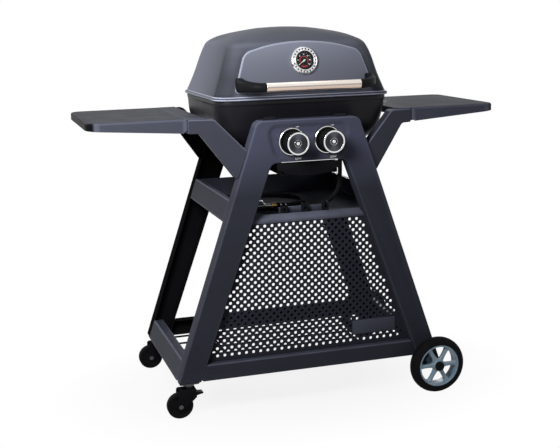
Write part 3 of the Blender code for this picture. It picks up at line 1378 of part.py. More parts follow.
def build_grease_tray():
    """A shallow pan on runners, behind a front with a bowed lower edge."""
    front = FRONT + APRON_SETBACK
    back = GREASE_BACK
    bottom = GREASE_TOP - GREASE_DEPTH
    high = PANEL_BOTTOM - 5 * CLEARANCE
    apron = [Vector((-APRON_HALF, high)), Vector((-APRON_HALF, high - APRON_DEPTH + APRON_BOW))]
    for step in range(9):
        angle = math.pi + math.pi * step / 8
        bow = high - APRON_DEPTH + APRON_BOW * (1 + math.sin(angle))
        apron.append(Vector((0.86 * APRON_HALF * math.cos(angle), bow)))
    apron += [Vector((APRON_HALF, high - APRON_DEPTH + APRON_BOW)), Vector((APRON_HALF, high))]
    bm = plate([counter_clockwise(apron)], across_y(front), across_y(front + SHEET))
    tray = add_piece("grease_tray", bm, "black sheet")
    pan = bmesh.new()
    inner_low = bottom + SHEET
    wall = GREASE_HALF - SHEET
    lip = GREASE_HALF + GREASE_LIP
    section = (
        (-GREASE_HALF, bottom), (GREASE_HALF, bottom),
        (GREASE_HALF, GREASE_TOP - SHEET), (lip, GREASE_TOP - SHEET),
        (lip, GREASE_TOP), (wall, GREASE_TOP), (wall, inner_low), (-wall, inner_low), (-wall, GREASE_TOP),
        (-lip, GREASE_TOP), (-lip, GREASE_TOP - SHEET), (-GREASE_HALF, GREASE_TOP - SHEET),
    )
    add_plate(pan, [[Vector(p) for p in section]], across_y(front + SHEET / 2), across_y(back))
    fuse(tray, pan)
    end_wall = bmesh.new()
    end_low = (-wall - SHEET / 2, back - SHEET, bottom + SHEET / 2)
    end_high = (wall + SHEET / 2, back - CLEARANCE, GREASE_TOP - CLEARANCE)
    add_block(end_wall, end_low, end_high)
    fuse(tray, end_wall)


def hose_points():
    """Points of a smooth curve through the hose's route, several to each stretch."""
    start = (MANIFOLD_RIGHT, MANIFOLD_Y, MANIFOLD_Z - HOSE_FITTING_LENGTH - CLEARANCE)
    route = [Vector(start), *(Vector(point) for point in HOSE_ROUTE)]
    padded = [2 * route[0] - route[1], *route, 2 * route[-1] - route[-2]]
    points = []
    for a, b, c, d in zip(padded, padded[1:], padded[2:], padded[3:]):
        for step in range(HOSE_PIECES):
            t = step / HOSE_PIECES
            square = (2 * a - 5 * b + 4 * c - d) * t * t
            cube = (3 * b - a - 3 * c + d) * t ** 3
            points.append((2 * b + (c - a) * t + square + cube) / 2)
    return [*points, route[-1]]


def build_hose():
    points = hose_points()
    curve = bpy.data.curves.new("gas_hose", "CURVE")
    curve.dimensions = "3D"
    curve.bevel_depth = HOSE_RADIUS
    curve.bevel_resolution = 1
    curve.use_fill_caps = True
    spline = curve.splines.new("POLY")
    spline.points.add(len(points) - 1)
    for target, point in zip(spline.points, points):
        target.co = (*point, 1.0)
    hose = bpy.data.objects.new("gas_hose", curve)
    bpy.context.collection.objects.link(hose)
    curve.materials.append(finish_material("gas_hose", "black plastic"))
    build_regulator(points[-1], (points[-1] - points[-2]).normalized())


def build_regulator(hose_end, heading):
    """A round gas regulator lying on the tray at the end of the hose."""
    neck_start = hose_end + heading * CLEARANCE
    centre = hose_end + heading * (REGULATOR_NECK_LENGTH + REGULATOR_RADIUS)
    floor = TRAY_FLOOR + SHEET + CLEARANCE
    height = REGULATOR_HEIGHT
    radius = REGULATOR_RADIUS
    profile = (
        (0, 0), (radius * 0.7, 0), (radius * 0.8, height * 0.2), (radius, height * 0.25),
        (radius, height * 0.5), (radius * 0.85, height * 0.6), (radius * 0.6, height), (0, height),
    )
    regulator = turned(profile, (centre.x, centre.y, floor), (0, 0, 1), 12)
    regulator = add_piece("regulator", regulator, "plain steel")
    fuse(regulator, rod(neck_start, centre, REGULATOR_NECK))


def clear_scene():
    for thing in list(bpy.data.objects):
        bpy.data.objects.remove(thing)


def main():
    clear_scene()
    build_frames()
    build_shelves()
    build_rails()
    build_tray()
    build_tool_rail()
    build_perforated_panel()
    build_rack()
    build_wheels()
    build_casters()
    build_firebox()
    build_lid()
    build_hinge_rod()
    build_handle()
    build_thermometer()
    build_gas()
    for side, word in ((-1, "left"), (1, "right")):
        build_burner(word, side)
        build_grate(word, side)
    build_grease_tray()
    build_hose()


main()
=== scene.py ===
"""A two-burner gas barbecue on a wheeled cart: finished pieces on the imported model, and a plain studio."""

import math

import bmesh
import bpy
from bpy.props import FloatProperty, FloatVectorProperty, IntProperty, PointerProperty
from mathutils import Matrix, Quaternion, Vector


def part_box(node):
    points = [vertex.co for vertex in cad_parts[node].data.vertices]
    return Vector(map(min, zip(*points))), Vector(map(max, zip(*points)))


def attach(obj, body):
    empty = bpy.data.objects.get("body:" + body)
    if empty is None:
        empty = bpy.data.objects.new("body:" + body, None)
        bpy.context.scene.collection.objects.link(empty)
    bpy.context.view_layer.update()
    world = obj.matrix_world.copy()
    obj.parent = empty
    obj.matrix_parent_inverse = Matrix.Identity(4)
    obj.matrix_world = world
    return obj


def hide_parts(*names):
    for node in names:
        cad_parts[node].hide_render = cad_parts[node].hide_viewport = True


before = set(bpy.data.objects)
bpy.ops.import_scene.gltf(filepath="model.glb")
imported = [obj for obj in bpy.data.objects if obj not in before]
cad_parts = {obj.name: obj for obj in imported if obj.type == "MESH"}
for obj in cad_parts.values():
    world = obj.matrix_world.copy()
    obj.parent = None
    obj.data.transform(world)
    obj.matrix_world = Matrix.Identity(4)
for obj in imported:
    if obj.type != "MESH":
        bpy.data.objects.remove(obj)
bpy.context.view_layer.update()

bl_info = {
    "name": "Cart barbecue",
    "version": (1, 0, 0),
    "blender": (4, 5, 0),
    "location": "View3D > Sidebar > Barbecue",
    "description": "Models and finishes a two-burner gas barbecue on a wheeled cart",
    "category": "Object",
}

# Faces this nearly level are one face; a face this broad, in square metres, gets a border this wide
FLAT = math.radians(0.5)
BROAD_FACE = 0.0008
BORDER = 0.0015

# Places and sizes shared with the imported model, in metres
SHEET = 0.0025
GAP = 0.0003
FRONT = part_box("front_frame")[0].y
FRAME_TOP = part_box("front_frame")[1].z
AXLE_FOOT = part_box("front_frame")[0].z
FRAME_FOOT = 0.100
FRAME_TOP_HALF = 0.144
FRAME_FOOT_HALF = 0.3835
LEG_TOP_WIDTH = 0.080
LEG_FOOT_WIDTH = 0.064
LEG_DEPTH = 0.042
LEG_CORNER = 0.007
RIM = -FRONT - LEG_DEPTH
PANEL_BOTTOM = 0.685
PANEL_EDGE = 0.008
RECESS_DEPTH = 0.005
DISH_SLOPE = 0.016
KNOB_X = 0.050
KNOB_Z = 0.742
KNOB_LENGTH = 0.0435
PANEL_HOLE = 0.008
RECESS_FLOOR = FRONT + RECESS_DEPTH
ARM_TOP = 0.808
ARM_BOTTOM = 0.770
ARM_LEG_TOP = 0.7225
ARM_LEG_BOTTOM = 0.644
ARM_DEPTH = 0.036
SHELF_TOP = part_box("shelf_left")[1].z
SHELF_SEAM = 0.320
SHELF_START = 0.3215
SHELF_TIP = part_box("shelf_right")[1].x
SHELF_HALF = 0.190
FOLD_X = 0.3315
FOLD_Z = 0.780
FOLD_EYE = 0.006
FOLD_EYE_THICK = 0.004
FOLD_EYE_IN = 0.008
FOLD_PIN = 0.003
SHELF_SQUARE = 0.010
RAIL_TOP = 0.146
SIDE_RAIL_TOP = 0.157
RAIL_Y = 0.236
RAIL_DEPTH = 0.030
RAIL_CORNER = 0.006
RAIL_FLANGE = 0.026
SECTION_FOLD = 0.004
TRAY_FLOOR = 0.5285
TRAY_TOP = TRAY_FLOOR + 0.0595
TRAY_LIP = 0.012
SHEET_EASE = 0.0004
WHEEL_X = 0.362
WHEEL_RADIUS = 0.081
WHEEL_IN = 0.261
WHEEL_OUT = 0.297
HUB_RADIUS = 0.0605
AXLE_RADIUS = 0.005
CASTER_Y = 0.219
CASTER_RADIUS = 0.036
CASTER_AXLE_X = -0.3775
FIREBOX_TOP = 0.852
FIREBOX_HALF = 0.243
FIREBOX_FRONT = -0.217
FIREBOX_BACK = 0.193
LID_BOTTOM = 0.8523
LID_HALF = 0.248
LID_FRONT = -0.222
LID_BACK = 0.198
LID_LEAN = 0.203
LID_WALL = 0.003
HINGE_Y = 0.216
HINGE_Z = 0.8623
EAR_RADIUS = 0.009
EAR_THICK = 0.006
PIN_BORE = 0.0033
SHIELD_RAISE = 0.005
HANDLE_UP = 0.038
HANDLE_OUT = 0.067
HANDLE_HALF = 0.130
HANDLE_ROOT_X = 0.182
DIAL_UP = 0.099
DIAL_FACE = 0.0025
DIAL_TILT = math.atan(LID_LEAN)
KNOB_BACK = -0.2538

# Firebox skin: depth below the rim, inset at the sides, inset at front and back
FIREBOX_OUTSIDE = (
    (0.013, 0.0010, 0.003), (0.052, 0.0012, 0.020), (0.095, 0.0130, 0.036), (0.120, 0.0370, 0.056),
    (0.134, 0.0760, 0.088),
)
LID_FOOT = 0.012

# Lid skin: height, insets at the sides, front and back, and corner radii at front and back
LID_SKIN = (
    (0.012, 0.0060, 0.0060, 0.0060, 0.044, 0.044), (0.060, 0.0240, 0.0157, 0.0173, 0.044, 0.052),
    (0.105, 0.0387, 0.0249, 0.0277, 0.039, 0.054), (0.132, 0.0485, 0.0306, 0.0347, 0.044, 0.058),
    (0.148, 0.0568, 0.0375, 0.0416, 0.056, 0.063), (0.160, 0.0733, 0.0600, 0.0600, 0.070, 0.070),
    (0.169, 0.0930, 0.0870, 0.0860, 0.075, 0.080), (0.178, 0.1300, 0.1230, 0.1220, 0.080, 0.080),
    (0.185, 0.1800, 0.1670, 0.1650, 0.050, 0.050),
)

# The two sides, and the two ends, with the words that name their nodes
SIDES = ((-1, "left"), (1, "right"))
ENDS = ((-1, "front"), (1, "rear"))

# Camera: its place, its turn in degrees, and its reach in pixels of a picture this wide
CAMERA_PLACE = (-0.899, -2.865, 1.084)
CAMERA_YAW, CAMERA_PITCH, CAMERA_ROLL = -17.18, -11.59, -1.25
CAMERA_REACH = 1040.8
PICTURE_WIDTH = 560
SENSOR = 36.0

# Lights: the property that holds the power, the place, the aim and the width
LIGHTS = (
    ("key", (-0.75, -0.95, 1.25), (-0.1, 0, 0.78), 0.5), ("top", (0.2, 0.1, 2.9), (0, 0, 0.8), 1.4),
    ("side", (2.5, -1.1, 1.4), (0, 0, 0.6), 1.2), ("back", (-1.9, 1.0, 1.9), (0, 0, 0.7), 1.2),
    ("rear", (1.0, 2.4, 0.75), (0, 0, 0.55), 0.6),
)
FLOOR_REACH = 40.0
FLOOR_DROP = 0.0005
WHITE = (1.0, 1.0, 1.0, 1.0)

# Gas hose: where it leaves the manifold fitting, and its route to the regulator on the tray
HOSE_EXIT = (0.1060, -0.1882, 0.6957)
HOSE_ROUTE = (
    (0.1060, -0.1880, 0.6600), (0.1055, -0.1860, 0.6280), (0.1030, -0.1780, 0.5970),
    (0.0950, -0.1600, 0.5700), (0.0800, -0.1380, 0.5510), (0.0580, -0.1190, 0.5410),
    (0.0280, -0.1130, 0.5380), (-0.0066, -0.1180, 0.5375), (-0.0746, -0.1075, 0.5375),
    (-0.1264, -0.0659, 0.5375), (-0.1494, -0.0060, 0.5375), (-0.1395, 0.0549, 0.5375),
    (-0.1019, 0.1007, 0.5375), (-0.0486, 0.1207, 0.5375), (0.0051, 0.1115, 0.5375),
    (0.0451, 0.0781, 0.5375), (0.0621, 0.0312, 0.5375), (0.0535, -0.0154, 0.5375),
    (0.0241, -0.0495, 0.5375), (-0.0162, -0.0634, 0.5375), (-0.0557, -0.0555, 0.5375),
)


def length(name, description, value):
    return FloatProperty(name=name, description=description, default=value, unit="LENGTH")


def power(name, description, value):
    return FloatProperty(name=name, description=description, default=value, unit="POWER")


def number(name, description, value):
    return IntProperty(name=name, description=description, default=value)


def colour(name, description, *value):
    return FloatVectorProperty(
        name=name, description=description, default=value, subtype="COLOR", min=0.0, max=1.0
    )


class SheetSizes(bpy.types.PropertyGroup):
    """Sizes of the pressed sheet of the cart."""

    fold: length("Fold", "Radius of the folds in the sheet", 0.0035)
    shelf_fold: length("Shelf fold", "Radius round the top edge of a shelf", 0.0055)
    hole: length("Hole", "Width of a hole in the front panel", 0.0086)
    columns: number("Columns", "Cells across the front panel", 59)
    rows: number("Rows", "Cells up the front panel", 37)
    wire: length("Wire", "Radius of a rack wire", 0.003)


class GrillSizes(bpy.types.PropertyGroup):
    """Sizes of the grill and its fittings."""

    handle: length("Handle", "Radius of the handle tube", 0.0122)
    dial_dots: number("Dial dots", "Studs round the thermometer's bezel", 22)
    knob: length("Knob", "Radius of a control knob", 0.031)
    spokes: number("Spokes", "Spokes of a wheel hub", 6)
    tread: number("Tread", "Blocks round a tyre", 72)
    hose: length("Hose", "Radius of the gas hose", 0.006)


class FinishColours(bpy.types.PropertyGroup):
    """Colours of the finishes."""

    graphite: colour("Graphite", "Powder coat of the cart's front", 0.028, 0.030, 0.041)
    black: colour("Black", "Powder coat of the cart's rear", 0.009, 0.009, 0.011)
    gunmetal: colour("Gunmetal", "Enamel of the lid", 0.098, 0.104, 0.132)
    casting: colour("Casting", "Enamel of the firebox", 0.011, 0.011, 0.014)
    stainless: colour("Stainless", "Tube of the handle", 0.640, 0.580, 0.530)
    chrome: colour("Chrome", "Bezels and rings", 0.800, 0.800, 0.810)
    plastic: colour("Plastic", "Knobs, horns and caps", 0.007, 0.007, 0.008)
    rubber: colour("Rubber", "Tyres, casters and hose", 0.007, 0.007, 0.008)
    hub: colour("Hub", "Wheel hubs", 0.190, 0.275, 0.350)
    iron: colour("Iron", "Burners and grates", 0.018, 0.017, 0.016)
    steel: colour("Steel", "Axle, pins and bolts", 0.430, 0.430, 0.440)
    brass: colour("Brass", "Valves and fittings", 0.600, 0.430, 0.160)
    red: colour("Red", "Hot part of the dial", 0.330, 0.020, 0.020)
    white: colour("White", "Needle and marks", 0.800, 0.790, 0.770)


class StageSizes(bpy.types.PropertyGroup):
    """The studio round the barbecue."""

    key: power("Key light", "Power of the light at the front", 16.0)
    top: power("Top light", "Power of the light overhead", 5.0)
    side: power("Side light", "Power of the fill at the right", 9.0)
    back: power("Back light", "Power of the light behind, at the left", 18.0)
    rear: power("Rear light", "Power of the low fill behind, at the right", 22.0)
    ambient: FloatProperty(name="Ambient", description="Strength of the world's light", default=0.15, min=0.0)
    floor: colour("Floor", "Colour of the floor", 0.560, 0.560, 0.560)


def sheet_sizes():
    return bpy.context.scene.barbecue_sheet


def grill_sizes():
    return bpy.context.scene.barbecue_grill


def colours():
    return bpy.context.scene.barbecue_colours


# Outlines


def mix(start, end, share):
    return start + (end - start) * share


def leg_share(z):
    """How far down the splayed legs this height is."""
    return (FRAME_TOP - z) / (FRAME_TOP - FRAME_FOOT)


def leg_outer(z):
    return mix(FRAME_TOP_HALF, FRAME_FOOT_HALF, leg_share(z))


def leg_inner(z):
    return leg_outer(z) - mix(LEG_TOP_WIDTH, LEG_FOOT_WIDTH, leg_share(z))


def counter_clockwise(points):
    area = sum(a.x * b.y - b.x * a.y for a, b in zip(points, points[1:] + points[:1]))
    return points if area > 0 else points[::-1]


def rounded(corners, steps=6, closed=True):
    """An outline through (u, v, radius) corners, each rounded by its radius."""
    points = []
    count = len(corners)
    for index, (u, v, radius) in enumerate(corners):
        corner = Vector((u, v))
        if radius <= 0 or (not closed and index in (0, count - 1)):
            points.append(corner)
            continue
        before = Vector(corners[index - 1][:2]) - corner
        after = Vector(corners[(index + 1) % count][:2]) - corner
        half_angle = before.angle(after) / 2
        if half_angle > math.radians(89):
            points.append(corner)
            continue
        reach = min(radius / math.tan(half_angle), 0.49 * before.length, 0.49 * after.length)
        radius = reach * math.tan(half_angle)
        before.normalize()
        after.normalize()
        centre = corner + (before + after).normalized() * (radius / math.sin(half_angle))
        first = corner + before * reach - centre
        last = corner + after * reach - centre
        sweep = first.angle(last)
        for step in range(steps + 1):
            share = step / steps
            spoke = first * math.sin((1 - share) * sweep) + last * math.sin(share * sweep)
            points.append(centre + spoke / math.sin(sweep))
    return counter_clockwise(points) if closed else points


def offset_inward(points, distance):
    """A counter-clockwise outline moved in by a distance."""
    moved = []
    count = len(points)
    for index, point in enumerate(points):
        before = (point - points[index - 1]).normalized()
        after = (points[(index + 1) % count] - point).normalized()
        left = Vector((-before.y, before.x))
        right = Vector((-after.y, after.x))
        moved.append(point + (left + right) / (1 + left.dot(right)) * distance)
    return moved


def ring(radius, steps, centre=(0.0, 0.0)):
    angles = (2 * math.pi * step / steps for step in range(steps))
    return [Vector((centre[0] + radius * math.cos(a), centre[1] + radius * math.sin(a))) for a in angles]


def mirrored(corners, side):
    """The corners on one side of the middle: -1 for the left, 1 for the right."""
    return [(side * x, *rest) for x, *rest in corners]


def smooth_rows(rows, count):
    """Rows of numbers on a smooth curve through the given rows, the first number rising."""
    rows = [list(row) for row in rows]
    result = []
    for step in range(count + 1):
        at = mix(rows[0][0], rows[-1][0], step / count)
        low = 0
        while low < len(rows) - 2 and rows[low + 1][0] < at:
            low += 1
        a, b = rows[low], rows[low + 1]
        span = b[0] - a[0]
        t = (at - a[0]) / span
        row = [at]
        for column in range(1, len(a)):
            slopes = []
            for index in (low, low + 1):
                last = max(index - 1, 0)
                following = min(index + 1, len(rows) - 1)
                rise = rows[following][column] - rows[last][column]
                slopes.append(rise / (rows[following][0] - rows[last][0]))
            row.append(
                a[column] * (2 * t ** 3 - 3 * t ** 2 + 1) + b[column] * (3 * t ** 2 - 2 * t ** 3)
                + span * (slopes[0] * (t ** 3 - 2 * t ** 2 + t) + slopes[1] * (t ** 3 - t ** 2))
            )
        result.append(row)
    return result


# Modelling


def assign(target, **settings):
    for name, value in settings.items():
        setattr(target, name, value)
    return target


def only(*pieces):
    """Leaves these pieces alone selected, the first of them active."""
    bpy.ops.object.select_all(action="DESELECT")
    for piece in pieces:
        piece.select_set(True)
    bpy.context.view_layer.objects.active = pieces[0]


class Editing:
    """Edit mode on one piece, where a test picks what the next tool works on."""

    def __init__(self, piece):
        self.piece = piece

    def __enter__(self):
        only(self.piece)
        bpy.ops.object.mode_set(mode="EDIT")
        return self

    def __exit__(self, *error):
        bpy.ops.object.mode_set(mode="OBJECT")

    def mesh(self):
        return bmesh.from_edit_mesh(self.piece.data)

    def pick(self, kind, test=None):
        bpy.ops.mesh.select_mode(type=kind)
        bpy.ops.mesh.select_all(action="DESELECT")
        bm = self.mesh()
        for element in {"VERT": bm.verts, "EDGE": bm.edges, "FACE": bm.faces}[kind]:
            if test is None or test(element):
                element.select_set(True)
        bm.select_flush_mode()
        bmesh.update_edit_mesh(self.piece.data)

    def place(self, move):
        """Moves each selected vertex to where the function puts it."""
        bm = self.mesh()
        for vertex in bm.verts:
            if vertex.select:
                vertex.co = move(vertex)
        bmesh.update_edit_mesh(self.piece.data)

    def border(self):
        """A narrow border inside the broad faces, so that the lighter edges, from rubbing and from painted
        highlight, stay narrow.
        """
        self.pick("FACE", lambda face: face.calc_area() > BROAD_FACE)
        bpy.ops.mesh.inset(thickness=BORDER, use_boundary=True, use_even_offset=True)

    def outward(self):
        """Turns every face to look out."""
        self.pick("FACE")
        bpy.ops.mesh.normals_make_consistent(inside=False)

    def thicken(self, way):
        """Makes the faces a plate that reaches this way."""
        self.pick("FACE")
        bpy.ops.mesh.extrude_region_move(TRANSFORM_OT_translate={"value": way})
        self.outward()

    def weld(self):
        """Merges doubled vertices and turns the faces outward."""
        self.pick("VERT")
        bpy.ops.mesh.remove_doubles(threshold=1e-6)
        bpy.ops.mesh.normals_make_consistent(inside=False)


def sharp(degrees):
    """A test for edges that fold by more than this angle."""
    limit = math.radians(degrees)
    return lambda edge: len(edge.link_faces) == 2 and edge.calc_face_angle() > limit


def started(name, add, **settings):
    """A piece begun from one of Blender's own shapes, and alone selected."""
    bpy.ops.object.select_all(action="DESELECT")
    add(**settings)
    piece = bpy.context.active_object
    piece.name = piece.data.name = name
    return piece


def new_loop(name, points, closed=True):
    """A ring or chain of edges through the points, started from a circle."""
    circle = {"vertices": len(points), "radius": 0.1, "fill_type": "NOTHING"}
    piece = started(name, bpy.ops.mesh.primitive_circle_add, **circle)
    for vertex, point in zip(piece.data.vertices, points):
        vertex.co = point
    if not closed:
        last = {0, len(points) - 1}
        with Editing(piece) as edit:
            edit.pick("EDGE", lambda edge: {vertex.index for vertex in edge.verts} == last)
            bpy.ops.mesh.delete(type="EDGE_FACE")
    return piece


def loft(name, loops, first="FILL", last="FILL"):
    """A skin grown ring by ring; an end is filled, brought to a point, or left open."""
    count = len(loops[0])
    close = {
        "FILL": bpy.ops.mesh.edge_face_add,
        "POLE": lambda: bpy.ops.mesh.merge(type="CENTER"),
        "OPEN": lambda: None,
    }
    piece = new_loop(name, loops[0])
    with Editing(piece) as edit:
        bm = edit.mesh()
        station = bm.verts.layers.int.new("station")
        for index, vertex in enumerate(bm.verts):
            vertex[station] = index
        bmesh.update_edit_mesh(piece.data)
        edit.pick("EDGE")
        for points in loops[1:]:
            bpy.ops.mesh.extrude_region_move()
            layer = edit.mesh().verts.layers.int["station"]
            edit.place(lambda vertex: points[vertex[layer]])
        close[last]()
        if first != "OPEN":
            edit.pick("EDGE", lambda edge: edge.is_boundary and all(v.index < count for v in edge.verts))
            close[first]()
        edit.outward()
    piece.data.attributes.remove(piece.data.attributes["station"])
    return piece


def settle(piece, turn, centre):
    """Puts a piece in its place, in its own mesh."""
    only(piece)
    piece.rotation_mode = "QUATERNION"
    piece.rotation_quaternion = turn
    piece.location = centre
    bpy.ops.object.transform_apply(location=True, rotation=True, scale=True)
    return piece


def spun(name, profile, centre, axis, steps, closed=False):
    """A piece turned about an axis from a profile of (radius, height) points."""
    piece = new_loop(name, [Vector((point[0], 0, point[1])) for point in profile], closed)
    with Editing(piece) as edit:
        edit.pick("VERT")
        bpy.ops.mesh.spin(steps=steps, angle=2 * math.pi, center=(0, 0, 0), axis=(0, 0, 1))
        edit.weld()
    return settle(piece, Vector(axis).to_track_quat("Z", "Y"), centre)


def rod(name, start, end, radius, steps=24, ease=0.15):
    """A round bar with eased ends between two points."""
    span = Vector(end) - Vector(start)
    top, ease = span.length, radius * ease
    corners = ((0, 0, 0), (radius, 0, ease), (radius, top, ease), (0, top, 0))
    return turned(name, corners, 3, start, span, steps)


def turned(name, corners, smooth, base, axis, steps, hollow=False):
    """A piece turned from (radius, height, rounding) corners, which meet all round if it is hollow."""
    return spun(name, rounded(corners, smooth, hollow), base, axis, steps, hollow)


def slab(name, outlines, place, thickness):
    """A flat plate through placed outlines; those after the first are holes."""
    piece = join([new_loop(name, [place(p) for p in points]) for points in outlines], name)
    with Editing(piece) as edit:
        edit.pick("EDGE")
        bpy.ops.mesh.fill(use_beauty=True)
        edit.pick("FACE")
        bpy.ops.mesh.dissolve_limited(angle_limit=FLAT)
        edit.thicken(thickness)
    return piece


def across_x(x):
    return lambda point: Vector((x, point.x, point.y))


def across_y(y):
    return lambda point: Vector((point.x, y, point.y))


def block(name, low, high, ease):
    """A box between two corners with its edges eased."""
    low, high = Vector(low), Vector(high)
    cube = {"size": 1, "location": (low + high) / 2, "scale": high - low}
    piece = started(name, bpy.ops.mesh.primitive_cube_add, **cube)
    settle(piece, Quaternion(), (low + high) / 2)
    return eased(piece, ease)


def modify(piece, kind, **settings):
    """Adds a modifier with these settings and applies it."""
    only(piece)
    bpy.ops.object.modifier_add(type=kind)
    modifier = assign(piece.modifiers[-1], **settings)
    bpy.ops.object.modifier_apply(modifier=modifier.name)
    return piece


def eased(piece, width, degrees=40, segments=2):
    """Rounds the edges that fold by more than an angle."""
    limit = {"limit_method": "ANGLE", "angle_limit": math.radians(degrees)}
    return modify(piece, "BEVEL", width=width, segments=segments, **limit)


def join(pieces, name):
    """One piece from several, on the first of them."""
    if len(pieces) > 1:
        only(*pieces)
        bpy.ops.object.join()
    pieces[0].name = pieces[0].data.name = name
    return pieces[0]


def copy_of(piece, name):
    """A copy with its own mesh."""
    twin = bpy.data.objects.new(name, piece.data.copy())
    bpy.context.scene.collection.objects.link(twin)
    return twin


def cut(piece, cutter):
    """Cuts a shape out of a piece and removes the cutter."""
    modify(piece, "BOOLEAN", operation="DIFFERENCE", solver="EXACT", object=cutter)
    bpy.data.objects.remove(cutter)


def facing(piece, direction, test=lambda centre: True):
    """Turns a sheet so that the faces that pass the test look this way."""
    faces = [face for face in piece.data.polygons if test(face.center)]
    if sum(face.normal.dot(Vector(direction)) * face.area for face in faces) < 0:
        piece.data.flip_normals()


def bored(piece, start, end, radius):
    """Cuts a round hole through a piece."""
    cut(piece, rod("cutter", start, end, radius, 32, 0.0))


def walled(piece, even):
    """Gives a folded sheet its thickness, on the inside."""
    return modify(piece, "SOLIDIFY", thickness=SHEET, offset=-1, use_even_offset=even)


def fold_edges(offset, segments):
    """Rounds the selected edges of a sheet."""
    bpy.ops.mesh.bevel(offset=offset, segments=segments, profile=0.5, affect="EDGES", clamp_overlap=True)


def dish_depth(share):
    """Depth of the panel's dish at this share of the way down its slope."""
    return RECESS_DEPTH * share * share * (3 - 2 * share)


def pressed_sheet(name, outline, face, inward, depth, rim=None, holes=()):
    """A sheet with holes and its edge turned back all round, dished inside a rim where one is given.

    face(x) gives the sheet's Y, and inward is the way its edge turns."""

    def on_face(points, sunk=0.0):
        return [Vector((p.x, face(p.x) + inward * sunk, p.y)) for p in points]

    openings = [*holes, rim] if rim else holes
    inside = {(round(p.x, 5), round(p.y, 5)) for points in openings for p in points}
    piece = join([new_loop(name, on_face(points)) for points in (outline, *openings)], name)
    with Editing(piece) as edit:
        edit.pick("EDGE")
        bpy.ops.mesh.fill(use_beauty=True)
        edit.pick("FACE")
        bpy.ops.mesh.dissolve_limited(angle_limit=FLAT)
        kept = lambda vertex: (round(vertex.co.x, 5), round(vertex.co.z, 5)) in inside
        edit.pick("EDGE", lambda edge: edge.is_boundary and not all(kept(v) for v in edge.verts))
        bpy.ops.mesh.extrude_edges_move(TRANSFORM_OT_translate={"value": (0, inward * depth, 0)})
    if rim:
        steps = 12
        shares = [step / steps for step in range(steps + 1)]
        dish = [on_face(offset_inward(rim, DISH_SLOPE * share), dish_depth(share)) for share in shares]
        piece = join([piece, loft("dish", dish, "OPEN")], name)
    with Editing(piece) as edit:
        edit.weld()
        widest = max(edit.mesh().faces, key=lambda f: f.calc_area())
        if widest.normal.y * inward > 0:
            bpy.ops.mesh.flip_normals()
        edit.pick("EDGE", sharp(40))
        fold_edges(sheet_sizes().fold, 4)
        edit.border()
    return eased(walled(piece, False), 0.0005, 60)


# Finishes


class Shade:
    """A socket of a node tree, so that shader maths reads as an expression."""

    def __init__(self, nodes, socket):
        self.nodes = nodes
        self.socket = socket

    def math(self, operation, first, second=0.0, clamp=False):
        settings = {"operation": operation, "use_clamp": clamp}
        return self.nodes.node("ShaderNodeMath", settings, {0: first, 1: second})

    def __add__(self, other):
        return self.math("ADD", self, other)

    __radd__ = __add__

    def __sub__(self, other):
        return self.math("SUBTRACT", self, other)

    def __rsub__(self, other):
        return self.math("SUBTRACT", other, self)

    def __mul__(self, other):
        return self.math("MULTIPLY", self, other)

    __rmul__ = __mul__

    def __truediv__(self, other):
        return self.math("DIVIDE", self, other)

    def __pow__(self, other):
        return self.math("POWER", self, other)

    def __abs__(self):
        return self.math("ABSOLUTE", self)

    def larger(self, other):
        return self.math("MAXIMUM", self, other)

    def clamped(self):
        return self.math("ADD", self, 0.0, True)


class Nodes:
    """A node tree whose nodes come from Python."""

    def __init__(self, tree):
        self.tree = tree

    def node(self, kind, settings, sockets, output=0):
        node = assign(self.tree.nodes.new(kind), **settings)
        for key, value in sockets.items():
            self.feed(node.inputs[key], value)
        return Shade(self, node.outputs[output])

    def feed(self, socket, value):
        if isinstance(value, Shade):
            self.tree.links.new(value.socket, socket)
        else:
            socket.default_value = value

    def background_rays(self):
        """1 for rays that see the background, straight or in metal and glass."""
        rays = self.node("ShaderNodeLightPath", {}, {}, "Is Camera Ray")
        outputs = rays.socket.node.outputs
        for name in ("Is Glossy Ray", "Is Transmission Ray"):
            rays = rays.larger(Shade(self, outputs[name]))
        return rays


class Finish(Nodes):
    """A material made of such nodes, with its patterns on the piece's own coordinates."""

    def __init__(self, name):
        self.material = bpy.data.materials.new(name)
        self.material.use_nodes = True
        super().__init__(self.material.node_tree)
        self.shader = self.tree.nodes["Principled BSDF"]
        self.place = self.node("ShaderNodeTexCoord", {}, {}, "Object")

    def set(self, **values):
        for name, value in values.items():
            self.feed(self.shader.inputs[name.replace("_", " ")], value)

    def noise(self, scale, detail, stretch=None):
        place = self.place
        if stretch:
            place = self.node("ShaderNodeMapping", {}, {"Vector": place, "Scale": stretch})
        return self.node("ShaderNodeTexNoise", {}, {"Vector": place, "Scale": scale, "Detail": detail})

    def mix(self, factor, first, second):
        settings = {"data_type": "RGBA", "clamp_factor": True}
        return self.node("ShaderNodeMix", settings, {0: factor, 6: first, 7: second}, 2)

    def axes(self):
        split = self.node("ShaderNodeSeparateXYZ", {}, {0: self.place})
        outputs = split.socket.node.outputs
        return [Shade(self, outputs[index]) for index in range(3)]

    def edges(self, start=0.510, gain=30.0):
        """Where the surface turns outward, from its own curvature."""
        point = self.node("ShaderNodeNewGeometry", {}, {}, "Pointiness")
        return ((point - start) * gain).clamped()

    def upward(self):
        """How far the surface looks up."""
        normal = self.node("ShaderNodeNewGeometry", {}, {}, "Normal")
        return self.node("ShaderNodeSeparateXYZ", {}, {0: normal}, "Z")

    def bump(self, height, strength, distance):
        settings = {"Height": height, "Strength": strength, "Distance": distance}
        self.set(Normal=self.node("ShaderNodeBump", {}, settings))


def shaded(rgb, gain):
    """A colour made lighter or darker, with its alpha."""
    return (*(min(channel * gain, 1.0) for channel in rgb), 1.0)


def around(middle, *parts):
    """A value round its middle that follows (noise, amount) pairs."""
    for noise, amount in parts:
        middle = middle + (noise - 0.5) * amount
    return middle


